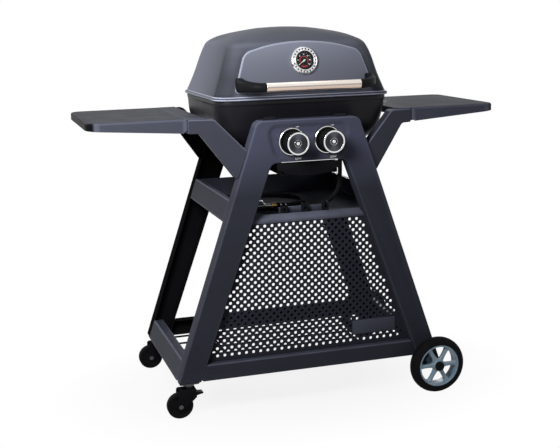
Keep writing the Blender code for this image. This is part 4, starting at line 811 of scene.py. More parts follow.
def sprayed(name, patch, grain, peel, gloss):
    """A sprayed surface to build on, with its broad patches and its fine orange peel."""
    finish = Finish(name)
    broad = finish.noise(patch, 4.0)
    fine = finish.noise(grain, 1.0)
    finish.set(Specular_IOR_Level=gloss)
    finish.bump(fine + broad * 0.4, peel, 0.0004)
    return finish, broad, fine


def mottled(finish, broad, fine, rgb, spread):
    return finish.mix(broad * 0.75 + fine * 0.25, shaded(rgb, 1 - spread), shaded(rgb, 1 + spread))


def coat(
    name, rgb, rough, gloss, metal=0.0, mottle=0.18, patch=14.0, grain=1100.0, peel=0.12, rub_and_highlight=0.25, panel=1.0
):
    """A sprayed or moulded surface: mottled, its edges lighter from rubbing and from a painted highlight that
    is stronger on upward edges, and, where a panel gain is given, painted light that makes it paler above
    0.60 m.
    """
    finish, broad, fine = sprayed(name, patch, grain, peel, gloss)
    tone = mottled(finish, broad, fine, rgb, mottle)
    # Painted light: the surface turns paler, and a little bluer, above 0.60 m.
    if panel > 1.0:
        red, green, blue, _ = shaded(rgb, panel)
        height = finish.axes()[2]
        tone = finish.mix(((height - 0.60) * 8.0).clamped(), tone, (red, green, blue * 1.12, 1.0))
    # Lighter edges: partly rubbing, partly a painted highlight that is stronger where the edge faces up.
    edge_rub_and_highlight = finish.edges() * (broad * 0.8 + 0.3) * (finish.upward() * 0.7 + 0.4).clamped() * rub_and_highlight
    finish.set(Base_Color=finish.mix(edge_rub_and_highlight.clamped(), tone, shaded(rgb, 5.0)), Metallic=metal)
    finish.set(Roughness=around(rough, (broad, 0.16), (fine, 0.10)))
    return finish.material


def lid_enamel_with_painted_light(name, rgb):
    """Dark enamel with painted light: painted shade round the front corners and along the line where the
    front turns to the side, painted shade on the sides near the front and painted light towards the back, and
    a darker bead with two painted highlight lines.
    """
    finish, broad, fine = sprayed(name, 9.0, 1300.0, 0.08, 0.02)
    x, y, z = finish.axes()
    up = z - (LID_BOTTOM + LID_FOOT)
    # Metres ahead of the line where the front turns to the side, and outside the front's own edge
    turn = up * 0.205 - y - 0.172
    wide = abs(x) + up * 0.354 - 0.198
    fade = (1.35 - up * 8.0).clamped()
    painted_crease_shade = (1.0 - abs(turn + 0.002) * 260.0).clamped() * (wide * 100.0 - 2.0).clamped()
    corner = (turn * 150.0).clamped() * (wide * 45.0 + 0.55).clamped()
    side = (wide * 80.0 - 2.4).clamped()
    fore = ((0.16 - y) * 3.0).clamped()
    bead = ((0.0 - up) * 500.0).clamped()
    ahead = ((-0.15 - y) * 30.0).clamped() * 0.5 + 0.5
    upper, lower = ((1.0 - abs(up + below) * 800.0).clamped() for below in (0.0022, 0.0085))
    tone = mottled(finish, broad, fine, rgb, 0.1)
    # Painted shade on the sides towards the front, painted light on the sides towards the back.
    tone = finish.mix(side * fore * 0.5, tone, shaded(rgb, 0.12))
    tone = finish.mix(side * (1.0 - fore) * 0.6, tone, shaded(rgb, 2.4))
    # Painted shade round the front corners and along the line where the front turns to the side, fading
    # upward, and painted shade on the bead.
    tone = finish.mix((corner * 0.68 + painted_crease_shade * 0.9) * fade + bead * 0.55, tone, shaded(rgb, 0.10))
    # Painted highlight: two bright lines along the front of the bead, and lighter edges.
    painted_highlight = (upper + lower) * ahead * 0.95 + finish.edges() * 0.12
    finish.set(Base_Color=finish.mix(painted_highlight, tone, shaded(rgb, 7.5)))
    finish.set(Roughness=around(0.40, (broad, 0.14), (fine, 0.08)) - bead * 0.10)
    return finish.material


def shield_enamel(name, rgb):
    """The lid's raised front: the same enamel, with painted light that makes it paler towards its top and a
    painted highlight along its edges, strongest on the upper ones.
    """
    finish, broad, fine = sprayed(name, 12.0, 1300.0, 0.06, 0.12)
    height = finish.axes()[2]
    # Painted light: paler towards the top.
    up = ((height - LID_BOTTOM) * 7.6 - 0.15).clamped()
    tone = finish.mix(up * up * 0.9 + broad * 0.12 + fine * 0.04, shaded(rgb, 0.80), shaded(rgb, 1.65))
    # Painted highlight along the edges, strongest where they face up.
    rim = finish.edges(0.505, 40.0) * (finish.upward() * 0.8 + 0.45).clamped()
    finish.set(Base_Color=finish.mix(rim * 0.8, tone, shaded(rgb, 4.0)))
    finish.set(Roughness=around(0.38, (broad, 0.14), (fine, 0.08)))
    return finish.material


def shelf_coat(name, rgb):
    """The cart's powder coat on a shelf: a top darkened as painted shade, a plain skirt, black towards the
    tip, and edges lighter from rubbing and painted highlight.
    """
    finish, broad, fine = sprayed(name, 14.0, 1100.0, 0.12, 0.05)
    x, _, z = finish.axes()
    top = ((z - (SHELF_TOP - 0.0012)) * 1500.0).clamped()
    end = ((abs(x) - (SHELF_TIP - 0.022)) * 160.0).clamped() * (1.0 - top * 0.7)
    # Painted shade: the top is made much darker than the skirt.
    tone = finish.mix(top, mottled(finish, broad, fine, rgb, 0.15), shaded(rgb, 0.42))
    # Lighter edges, partly rubbing and partly painted highlight, kept off the black tip.
    edge_rub_and_highlight = finish.edges() * (broad * 0.6 + 0.3) * (1.0 - end)
    tone = finish.mix(edge_rub_and_highlight, tone, shaded(rgb, 2.4))
    finish.set(Base_Color=finish.mix(end, tone, shaded(rgb, 0.06)))
    finish.set(Roughness=around(0.52, (broad, 0.16), (fine, 0.10)))
    return finish.material


def bright(name, rgb, rough, scratch, tarnish):
    """Bare metal with fine scratches and faint tarnish."""
    finish = Finish(name)
    lines = finish.noise(360.0, 3.0)
    broad = finish.noise(22.0, 3.0)
    tone = finish.mix(broad * 0.6 + lines * 0.4, shaded(rgb, 1 - tarnish - 0.12), shaded(rgb, 1 + tarnish))
    finish.set(Base_Color=tone, Metallic=1.0, Roughness=around(rough, (lines, 0.18), (broad, 0.08)))
    finish.bump(lines, scratch, 0.0002)
    return finish.material


def polished_tube(name, rgb):
    """The handle's tube: brushed along its length, with a painted dark reflection band at its middle and a
    warm painted reflection on its underside.
    """
    finish = Finish(name)
    height = finish.axes()[2]
    lines = finish.noise(4.0, 3.0, (3, 260, 260))
    rise = (height - (LID_BOTTOM + HANDLE_UP)) / grill_sizes().handle
    # Painted reflection: a dark band along the middle of the tube.
    band = (1.0 - abs(rise - 0.04) * 4.5).clamped()
    tone = finish.mix(lines * 0.5, shaded(rgb, 1.3), shaded(rgb, 1.15))
    # Painted reflection: a warm tone on the underside.
    painted_warm_reflection = (rgb[0], rgb[1] * 0.86, rgb[2] * 0.80, 1.0)
    tone = finish.mix(((0.0 - rise) * 6.0).clamped(), tone, painted_warm_reflection)
    finish.set(Base_Color=finish.mix(band * 0.8, tone, shaded(rgb, 0.22)), Metallic=0.8)
    finish.set(Roughness=around(0.20, (lines, 0.12)))
    finish.bump(lines, 0.02, 0.0002)
    return finish.material


def rubber(name, rgb):
    """Moulded rubber with a dusty bloom."""
    finish = Finish(name)
    dust = finish.noise(35.0, 5.0)
    fine = finish.noise(1600.0, 2.0)
    tone = finish.mix((dust * 1.5 - 0.45).clamped(), shaded(rgb, 0.75), shaded(rgb, 2.1))
    finish.set(Base_Color=tone, Specular_IOR_Level=0.03)
    finish.set(Roughness=around(0.62, (dust, 0.25), (fine, 0.1)))
    finish.bump(fine, 0.18, 0.0003)
    return finish.material


def iron(name, rgb):
    """Sand-cast iron under a matt black enamel."""
    finish = Finish(name)
    sand = finish.noise(420.0, 6.0)
    broad = finish.noise(18.0, 4.0)
    tone = finish.mix(broad * 0.7 + sand * 0.3, shaded(rgb, 0.6), shaded(rgb, 1.9))
    finish.set(Base_Color=tone, Metallic=0.25, Roughness=around(0.58, (sand, 0.3)))
    finish.bump(sand, 0.35, 0.0006)
    return finish.material


def turned_face(name, rgb):
    """Dark metal turned in fine rings about each knob's axis, with a painted highlight above and below each
    knob's centre.
    """
    finish = Finish(name)
    x, _, z = finish.axes()
    across = abs(x) - KNOB_X
    up = z - KNOB_Z
    radius = (across * across + up * up) ** 0.5
    ringed = {"W": radius * 2600.0, "Scale": 1.0}
    rings = finish.node("ShaderNodeTexNoise", {"noise_dimensions": "1D"}, ringed)
    sweep = finish.noise(60.0, 2.0)
    # Painted highlight: brightest straight above and below the knob's centre.
    painted_sheen = up * up / (radius * radius + 0.000001)
    tone = finish.mix(rings * 0.6 + sweep * 0.3, shaded(rgb, 0.4), shaded(rgb, 1.3))
    tone = finish.mix(painted_sheen * painted_sheen * painted_sheen * 0.7, tone, shaded(rgb, 3.5))
    finish.set(Base_Color=tone, Metallic=0.8, Roughness=around(0.34, (rings, 0.25)))
    finish.bump(rings, 0.25, 0.0002)
    return finish.material


def clear_glass(name, rgb):
    """Thin glass, faintly smeared."""
    finish = Finish(name)
    smear = finish.noise(60.0, 3.0)
    finish.set(Base_Color=shaded(rgb, 1), Roughness=0.04 + smear * 0.05, Alpha=0.05 + smear * 0.04)
    return finish.material


def recipes(tint):
    """Each finish: how it is made, its colour, a gain on that colour, and its settings."""
    print_on_dial = {"patch": 200.0, "grain": 3000.0, "rub_and_highlight": 0.0}
    dull = {"scratch": 0.12, "tarnish": 0.15}
    return {
        "graphite_sheet": (coat, tint.graphite, 1.0, {"rough": 0.52, "gloss": 0.04, "rub_and_highlight": 1.0}),
        # Painted light: the front frame's copy turns paler above 0.60 m.
        "panel_sheet": (coat, tint.graphite, 1.0, {"rough": 0.52, "gloss": 0.03, "rub_and_highlight": 1.0, "panel": 2.2}),
        # Painted light: a lighter copy of the graphite for the front arms.
        "arm_sheet": (coat, tint.graphite, 1.4, {"rough": 0.52, "gloss": 0.06, "rub_and_highlight": 1.0}),
        # Painted light: a lighter copy of the graphite for the shelves, whose tops get painted shade.
        "shelf_sheet": (shelf_coat, tint.graphite, 1.9, {}),
        "black_sheet": (coat, tint.black, 1.0, {"rough": 0.50, "gloss": 0.0, "rub_and_highlight": 0.1}),
        "perforated_sheet": (coat, tint.graphite, 0.85, {"rough": 0.55, "gloss": 0.0, "rub_and_highlight": 0.1}),
        "gunmetal_casting": (lid_enamel_with_painted_light, tint.gunmetal, 1.0, {}),
        # Painted light: a lighter copy of the lid's enamel for its raised front.
        "shield_enamel": (shield_enamel, tint.gunmetal, 1.25, {}),
        "black_casting": (coat, tint.casting, 1.0, {
            "rough": 0.42, "gloss": 0.12, "mottle": 0.22, "patch": 16.0, "grain": 800.0,
            "peel": 0.2, "rub_and_highlight": 0.05,
        }),
        "stainless_tube": (polished_tube, tint.stainless, 1.0, {}),
        "bright_chrome": (bright, tint.chrome, 1.0, {"rough": 0.13, "scratch": 0.03, "tarnish": 0.05}),
        "black_plastic": (coat, tint.plastic, 1.0, {
            "rough": 0.45, "gloss": 0.04, "mottle": 0.2, "patch": 30.0, "grain": 1500.0,
            "peel": 0.15, "rub_and_highlight": 0.15,
        }),
        "tyre_rubber": (rubber, tint.rubber, 1.0, {}),
        "caster_rubber": (rubber, tint.rubber, 0.8, {}),
        "hose_rubber": (rubber, tint.rubber, 1.5, {}),
        "blue_grey_hub": (coat, tint.hub, 1.0, {
            "rough": 0.42, "gloss": 0.25, "mottle": 0.14, "patch": 25.0, "grain": 1200.0,
            "peel": 0.1, "rub_and_highlight": 0.3, "metal": 0.10,
        }),
        "cast_iron": (iron, tint.iron, 1.0, {}),
        "dark_steel": (bright, tint.steel, 0.16, {"rough": 0.38, **dull}),
        "plain_steel": (bright, tint.steel, 1.0, {"rough": 0.32, **dull}),
        "brass": (bright, tint.brass, 1.0, {"rough": 0.30, "scratch": 0.1, "tarnish": 0.16}),
        "dial_face": (coat, (0.004, 0.004, 0.005), 1.0, {
            "rough": 0.5, "gloss": 0.03, "mottle": 0.3, "peel": 0.1, **print_on_dial,
        }),
        "dial_red": (coat, tint.red, 1.0, {
            "rough": 0.45, "gloss": 0.3, "mottle": 0.12, "peel": 0.05, **print_on_dial,
        }),
        "needle_white": (coat, tint.white, 1.0, {
            "rough": 0.45, "gloss": 0.4, "mottle": 0.05, "peel": 0.05, **print_on_dial,
        }),
        "turned_face": (turned_face, (0.028, 0.029, 0.036), 1.0, {}),
        "clear_glass": (clear_glass, (0.10, 0.11, 0.12), 1.0, {}),
    }


def paint(slot):
    """The finish of one material slot, made when it is first asked for."""
    name = f"finish_{slot}"
    made = bpy.data.materials.get(name)
    if made:
        return made
    maker, rgb, gain, settings = recipes(colours())[slot]
    return maker(name, shaded(rgb, gain)[:3], **settings)


def finished(piece, slot, body="cart", nodes=(), angle=35):
    """Smooths, paints and mounts a finished piece, which stands for these nodes."""
    only(piece)
    bpy.ops.object.shade_smooth_by_angle(angle=math.radians(angle))
    piece.data.materials.clear()
    piece.data.materials.append(paint(slot))
    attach(piece, body)
    if nodes:
        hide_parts(*nodes)
    return piece


def dressed(node, slot, body="cart", width=0.0008, segments=2):
    """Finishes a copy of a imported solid, with its loose triangles merged and its edges eased."""
    piece = copy_of(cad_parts[node], f"{node}_eased")
    with Editing(piece) as edit:
        bpy.ops.mesh.customdata_custom_splitnormals_clear()
        edit.pick("VERT")
        bpy.ops.mesh.remove_doubles(threshold=1e-5)
        bpy.ops.mesh.dissolve_limited(angle_limit=math.radians(1))
    finished(eased(piece, width, segments=segments), slot, body, [node])


# Studio


def build_camera():
    yaw, pitch, roll = (math.radians(angle) for angle in (CAMERA_YAW, CAMERA_PITCH, CAMERA_ROLL))
    ahead = Vector((-math.sin(yaw) * math.cos(pitch), math.cos(yaw) * math.cos(pitch), math.sin(pitch)))
    level = Vector((math.cos(yaw), math.sin(yaw), 0))
    up = level.cross(ahead)
    right = level * math.cos(roll) + up * math.sin(roll)
    top = up * math.cos(roll) - level * math.sin(roll)
    data = bpy.data.cameras.new("camera")
    assign(data, sensor_fit="HORIZONTAL", sensor_width=SENSOR, lens=SENSOR * CAMERA_REACH / PICTURE_WIDTH)
    camera = bpy.data.objects.new("camera", data)
    bpy.context.scene.collection.objects.link(camera)
    turn = Matrix((right, top, -ahead)).transposed().to_4x4()
    camera.matrix_world = Matrix.Translation(CAMERA_PLACE) @ turn
    bpy.context.scene.camera = camera


def build_world(ambient):
    world = bpy.data.worlds.new("studio")
    bpy.context.scene.world = world
    world.use_nodes = True
    nodes = Nodes(world.node_tree)
    plain = world.node_tree.nodes["Background"]
    nodes.feed(plain.inputs["Color"], WHITE)
    nodes.feed(plain.inputs["Strength"], ambient)
    white = nodes.node("ShaderNodeBackground", {}, {"Color": WHITE})
    sockets = {0: nodes.background_rays(), 1: Shade(nodes, plain.outputs[0]), 2: white}
    blend = nodes.node("ShaderNodeMixShader", {}, sockets)
    nodes.feed(world.node_tree.nodes["World Output"].inputs[0], blend)


def build_floor(tint):
    """A pale floor that keeps the shadow near the barbecue and turns white further out."""
    floor = new_loop("floor", [Vector((p.x, p.y, -FLOOR_DROP)) for p in ring(FLOOR_REACH, 64)])
    with Editing(floor) as edit:
        edit.pick("EDGE")
        bpy.ops.mesh.edge_face_add()
        edit.pick("FACE")
        bpy.ops.mesh.inset(thickness=FLOOR_REACH * 0.9)
    facing(floor, (0, 0, 1))
    finish = Finish("floor")
    finish.set(Base_Color=(*tint, 1.0), Roughness=0.9, Specular_IOR_Level=0.0)
    x, y, _ = finish.axes()
    away = (x * x * 0.55 + (y + 0.02) * (y + 0.02) * 1.1) ** 0.5
    far = ((away - 0.16) * 2.6).clamped()
    glow = finish.node("ShaderNodeEmission", {}, {"Color": WHITE, "Strength": 1.0})
    whiteness = finish.background_rays() * (0.85 + far * 0.15)
    sockets = {0: whiteness, 1: Shade(finish, finish.shader.outputs[0]), 2: glow}
    blend = finish.node("ShaderNodeMixShader", {}, sockets)
    finish.feed(finish.tree.nodes["Material Output"].inputs[0], blend)
    floor.data.materials.append(finish.material)


def add_light(name, place, aim, energy, size):
    data = bpy.data.lights.new(name, "AREA")
    assign(data, energy=energy, shape="DISK", size=size)
    light = bpy.data.objects.new(name, data)
    light.location = place
    light.rotation_euler = (Vector(aim) - Vector(place)).to_track_quat("-Z", "Y").to_euler()
    bpy.context.scene.collection.objects.link(light)


class Maker(bpy.types.Operator):
    """A step that makes pieces and raises an error where it can't."""

    bl_options = {"REGISTER"}

    def execute(self, context):
        self.make(context)
        return {"FINISHED"}


class BARBECUE_OT_stage(Maker):
    """Set up the camera, the floor and the lights"""

    bl_idname = "barbecue.stage"
    bl_label = "Studio"

    def make(self, context):
        stage = context.scene.barbecue_stage
        build_camera()
        build_world(stage.ambient)
        build_floor(stage.floor)
        context.scene.view_settings.view_transform = "Standard"
        for name, place, aim, size in LIGHTS:
            add_light(name, place, aim, getattr(stage, name), size)


def hose_points():
    """Points of a smooth curve through the hose's route."""
    route = [Vector(HOSE_EXIT), *(Vector(point) for point in HOSE_ROUTE)]
    padded = [2 * route[0] - route[1], *route, 2 * route[-1] - route[-2]]
    points = []
    steps = 8
    for a, b, c, d in zip(padded, padded[1:], padded[2:], padded[3:]):
        for t in (step / steps for step in range(steps)):
            square = (2 * a - 5 * b + 4 * c - d) * t * t
            cube = (3 * b - a - 3 * c + d) * t ** 3
            points.append((2 * b + (c - a) * t + square + cube) / 2)
    return [*points, route[-1]]


def build_regulator(end, heading, hose_radius):
    """A domed regulator on the tray, with a vent cap, a neck, an outlet nut and the hose's two sleeves."""
    radius, height, neck = 0.027, 0.022, 0.014
    centre = end + heading * (neck + radius)
    corners = (
        (0, 0, 0), (radius * 0.7, 0, 0.001), (radius * 0.8, height * 0.2, 0.001),
        (radius, height * 0.25, 0.0008), (radius, height * 0.5, 0.0008),
        (radius * 0.86, height * 0.58, 0.001), (radius * 0.62, height * 0.95, 0.004),
        (0.006, height * 0.95, 0.0005), (0.0055, height, 0.0005), (0, height, 0),
    )
    foot = (centre.x, centre.y, TRAY_FLOOR + SHEET + GAP)
    body = turned("regulator_body", corners, 4, foot, (0, 0, 1), 48)
    side = Vector((0, 0, 1)).cross(heading)
    level = Vector((centre.x, centre.y, end.z))
    stub = rod("regulator_neck", end + heading * GAP, level, 0.006)
    lug = rod("regulator_lug", level + side * radius * 0.7, level + side * (radius + 0.004), 0.0055, 6, 0.1)
    pieces = [finished(join([body, stub, lug], "regulator_cast"), "plain_steel", "cart", ["regulator"])]
    inner, outer = hose_radius + 0.00015, hose_radius + 0.0011
    groove = outer - 0.0005
    profile = (
        (inner, 0.0005), (outer, 0.0005), (outer, 0.0035), (groove, 0.0042), (outer, 0.0049), (outer, 0.011),
        (groove, 0.0117), (outer, 0.0124), (outer, 0.0155), (inner, 0.0155),
    )
    for name, start, way in (("hose_sleeve_top", HOSE_EXIT, (0, 0, -1)), ("hose_sleeve", end, -heading)):
        pieces.append(finished(spun(name, profile, start, way, 32, True), "brass"))
    return pieces


class BARBECUE_OT_gas_hose(Maker):
    """Lay the gas hose from the manifold to its regulator on the tray"""

    bl_idname = "barbecue.gas_hose"
    bl_label = "Gas hose"

    def make(self, context):
        radius = grill_sizes().hose
        points = hose_points()
        data = bpy.data.curves.new("hose_line", "CURVE")
        assign(data, dimensions="3D", bevel_depth=radius, bevel_resolution=5, use_fill_caps=True)
        spline = data.splines.new("POLY")
        spline.points.add(len(points) - 1)
        spline.use_smooth = True
        for target, point in zip(spline.points, points):
            target.co = (*point, 1.0)
        hose = bpy.data.objects.new("hose_line", data)
        context.scene.collection.objects.link(hose)
        data.materials.append(paint("hose_rubber"))
        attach(hose, "cart")
        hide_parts("gas_hose")
        ends = build_regulator(points[-1], (points[-1] - points[-2]).normalized(), radius)


# Cart


def frame_outline():
    return rounded((
        (-leg_outer(FRAME_FOOT), FRAME_FOOT, LEG_CORNER), (-leg_inner(FRAME_FOOT), FRAME_FOOT, LEG_CORNER),
        (-leg_inner(PANEL_BOTTOM), PANEL_BOTTOM, 0.020), (leg_inner(PANEL_BOTTOM), PANEL_BOTTOM, 0.020),
        (leg_inner(AXLE_FOOT), AXLE_FOOT, LEG_CORNER), (leg_outer(AXLE_FOOT), AXLE_FOOT, LEG_CORNER),
        (FRAME_TOP_HALF, FRAME_TOP, 0.024), (-FRAME_TOP_HALF, FRAME_TOP, 0.024),
    ), 8)


def panel_recess():
    """The rim of the control panel's dish."""
    top, bottom, corner = FRAME_TOP - PANEL_EDGE, PANEL_BOTTOM + PANEL_EDGE, 0.030
    top_half = leg_outer(top) - 0.019
    bottom_half = leg_inner(PANEL_BOTTOM) - 0.004
    return rounded((
        (-bottom_half, bottom, corner), (bottom_half, bottom, corner), (top_half, top, corner),
        (-top_half, top, corner),
    ), 10)


def panel_marks():
    """The words above and below each knob, cut as thin raised letters."""
    marks = []
    thick, right = 0.0002, 0.0180
    for side, _ in SIDES:
        for word, z, size in (("OFF", 0.7796, 0.0048), ("LOW", 0.6944, 0.0072)):
            mark = started("mark", bpy.ops.object.text_add)
            assign(mark.data, body=word, size=size, align_x="CENTER", align_y="CENTER")
            assign(mark.data, extrude=thick, offset=thick, resolution_u=3)
            bpy.ops.object.convert(target="MESH")
            from_rim = min(FRAME_TOP - PANEL_EDGE - z, z - PANEL_BOTTOM - PANEL_EDGE)
            sunk = dish_depth(min(max(from_rim / DISH_SLOPE, 0.0), 1.0))
            place = (side * KNOB_X + right, FRONT + sunk - thick, z)
            marks.append(settle(mark, Quaternion((1, 0, 0), math.pi / 2), place))
    return join(marks, "panel_marks")


class BARBECUE_OT_frames(Maker):
    """Press the front and rear frames with their folded edges"""

    bl_idname = "barbecue.frames"
    bl_label = "Frames"

    def make(self, context):
        outline = frame_outline()
        axle = [ring(AXLE_RADIUS + GAP, 24, (WHEEL_X, WHEEL_RADIUS))]
        front = pressed_sheet("front_pressing", outline, lambda x: FRONT, 1, LEG_DEPTH, panel_recess(), axle)
        for side, _ in SIDES:
            x = side * KNOB_X
            bored(front, (x, FRONT - 0.01, KNOB_Z), (x, FRONT + 0.02, KNOB_Z), PANEL_HOLE)
        finished(front, "panel_sheet", "cart", ["front_frame"])
        # A thin chrome strip along the panel's lower fold, standing in for the fold's highlight: a painted
        # highlight.
        low, high = (-0.080, FRONT - 0.0007, 0.6864), (0.080, FRONT + 0.0010, 0.6880)
        finished(block("panel_highlight_strip", low, high, 0.0004), "bright_chrome")
        finished(panel_marks(), "needle_white")
        rear = pressed_sheet("rear_pressing", outline, lambda x: -FRONT, -1, LEG_DEPTH, None, axle)
        finished(rear, "black_sheet", "cart", ["rear_frame"])


def arm_face(x):
    """Depth of an arm's face, which leaves the leg's face and runs in towards the shelf."""
    leg = leg_outer(ARM_LEG_TOP)
    share = (abs(x) - leg) / (SHELF_SEAM - leg)
    return -FRONT - mix(0.006, 0.050, share)


def arm_outline(side):
    upper, lower = leg_outer(ARM_LEG_TOP) + GAP, leg_outer(ARM_LEG_BOTTOM) + GAP
    corners = (
        (upper, ARM_LEG_TOP, 0.006), (lower, ARM_LEG_BOTTOM, 0.0045), (0.289, ARM_BOTTOM, 0.014),
        (SHELF_SEAM, ARM_BOTTOM, 0.006), (SHELF_SEAM, ARM_TOP, 0.006), (0.252, ARM_TOP, 0.014),
    )
    return rounded(mirrored(corners, side), 6)


def build_arm(node, side, end):
    """An arm with the eye and the pin that its shelf folds on."""
    name = f"{node}_pressing"
    arm = pressed_sheet(name, arm_outline(side), lambda x: end * arm_face(x), -end, ARM_DEPTH)
    outer = end * (SHELF_HALF - SHEET - FOLD_EYE_IN)
    inner = outer - end * FOLD_EYE_THICK
    root, low, high, under = SHELF_SEAM - SHEET / 2, FOLD_Z - FOLD_EYE, FOLD_Z + FOLD_EYE, FOLD_Z - 0.0006
    corners = (
        (root, low, 0), (FOLD_X + FOLD_EYE, low, FOLD_EYE), (FOLD_X + FOLD_EYE, high, FOLD_EYE),
        (FOLD_X - FOLD_EYE * 0.6, high, 0.003), (FOLD_X - FOLD_EYE, under, 0), (root, under, 0),
    )
    eye = slab("arm_eye", [rounded(mirrored(corners, side))], across_y(outer), (0, inner - outer, 0))
    start, tip = ((side * FOLD_X, y, FOLD_Z) for y in ((outer + inner) / 2, inner - end * 0.0046))
    arm = join([arm, eased(eye, 0.0005), rod("arm_pin", start, tip, FOLD_PIN, 20)], name)
    finished(arm, "arm_sheet" if end < 0 else "black_sheet", "cart", [node])


def shelf_skirt(x):
    """Height of a shelf's lower edge: clear of the eyes, then rising to the tip."""
    past = abs(x) - SHELF_START
    if past < SHELF_SQUARE:
        return FOLD_Z - max(past - SHEET, 0.0)
    share = (past - SHELF_SQUARE) / (SHELF_TIP - SHELF_START - SHELF_SQUARE)
    return mix(ARM_BOTTOM, SHELF_TOP - 0.020, share)


def build_shelf(node, side):
    """A folding shelf: a pan with a soft top edge, a skirt that rises to its tip, a tongue and two lugs."""
    name, square, corner = f"{node}_pan", SHELF_START + SHELF_SQUARE, 0.034
    corners = (
        (SHELF_START, -SHELF_HALF, 0), (square, -SHELF_HALF, 0), (SHELF_TIP, -SHELF_HALF, corner),
        (SHELF_TIP, SHELF_HALF, corner), (square, SHELF_HALF, 0), (SHELF_START, SHELF_HALF, 0),
    )
    outline = rounded(mirrored(corners, side), 10)
    low = [Vector((p.x, p.y, shelf_skirt(p.x))) for p in outline]
    shelf = loft(name, [low, [Vector((p.x, p.y, SHELF_TOP)) for p in outline]], "OPEN")
    with Editing(shelf) as edit:
        edge_on_top = lambda edge: all(vertex.co.z > SHELF_TOP - 1e-5 for vertex in edge.verts)
        edit.pick("EDGE", lambda edge: sharp(20)(edge) and edge_on_top(edge))
        fold_edges(sheet_sizes().shelf_fold, 6)
        edit.border()
    parts = [eased(walled(shelf, True), 0.0005, 60)]
    left, right = sorted((side * (SHELF_SEAM - 0.045), side * (SHELF_START + 0.004)))
    tongue = block("tongue", (left, -SHELF_HALF, SHELF_TOP - SHEET), (right, SHELF_HALF, SHELF_TOP), 0.0009)
    with Editing(tongue) as edit:
        edit.border()
    parts.append(tongue)
    root, foot, ease = SHELF_TOP - SHEET / 2, FOLD_Z - FOLD_EYE, FOLD_EYE * 0.9
    corners = (
        (FOLD_X - FOLD_EYE, foot, ease), (FOLD_X + FOLD_EYE, foot, ease), (FOLD_X + 2 * FOLD_EYE, root, 0),
        (FOLD_X - FOLD_EYE, root, 0),
    )
    outlines = [rounded(mirrored(corners, side)), ring(FOLD_PIN + GAP, 20, (side * FOLD_X, FOLD_Z))]
    for end, _ in ENDS:
        near = end * (SHELF_HALF - SHEET - FOLD_EYE_IN - FOLD_EYE_THICK - GAP)
        parts.append(eased(slab("lug", outlines, across_y(near), (0, -end * FOLD_EYE_THICK, 0)), SHEET_EASE))
    finished(join(parts, name), "shelf_sheet", f"{node}_body", [node])


class BARBECUE_OT_shelves(Maker):
    """Press the four arms and the two folding shelves"""

    bl_idname = "barbecue.shelves"
    bl_label = "Arms and shelves"

    def make(self, context):
        for side, word in SIDES:
            for end, place in ENDS:
                build_arm(f"arm_{place}_{word}", side, end)
            build_shelf(f"shelf_{word}", side)


def between_legs(z):
    """Half the room between the legs at this height."""
    return leg_inner(z) - GAP


def folded_section(name, section):
    """A sheet from frame to frame, folded to a section and rounded at its folds, without its thickness."""
    reach = RIM - GAP
    points = rounded([(x, z, SECTION_FOLD) for x, z in section], 5, False)
    piece = new_loop(name, [Vector((p.x, -reach, p.y)) for p in points], False)
    with Editing(piece) as edit:
        edit.pick("EDGE")
        bpy.ops.mesh.extrude_region_move(TRANSFORM_OT_translate={"value": (0, 2 * reach, 0)})
        edit.outward()
        edit.border()
    return piece


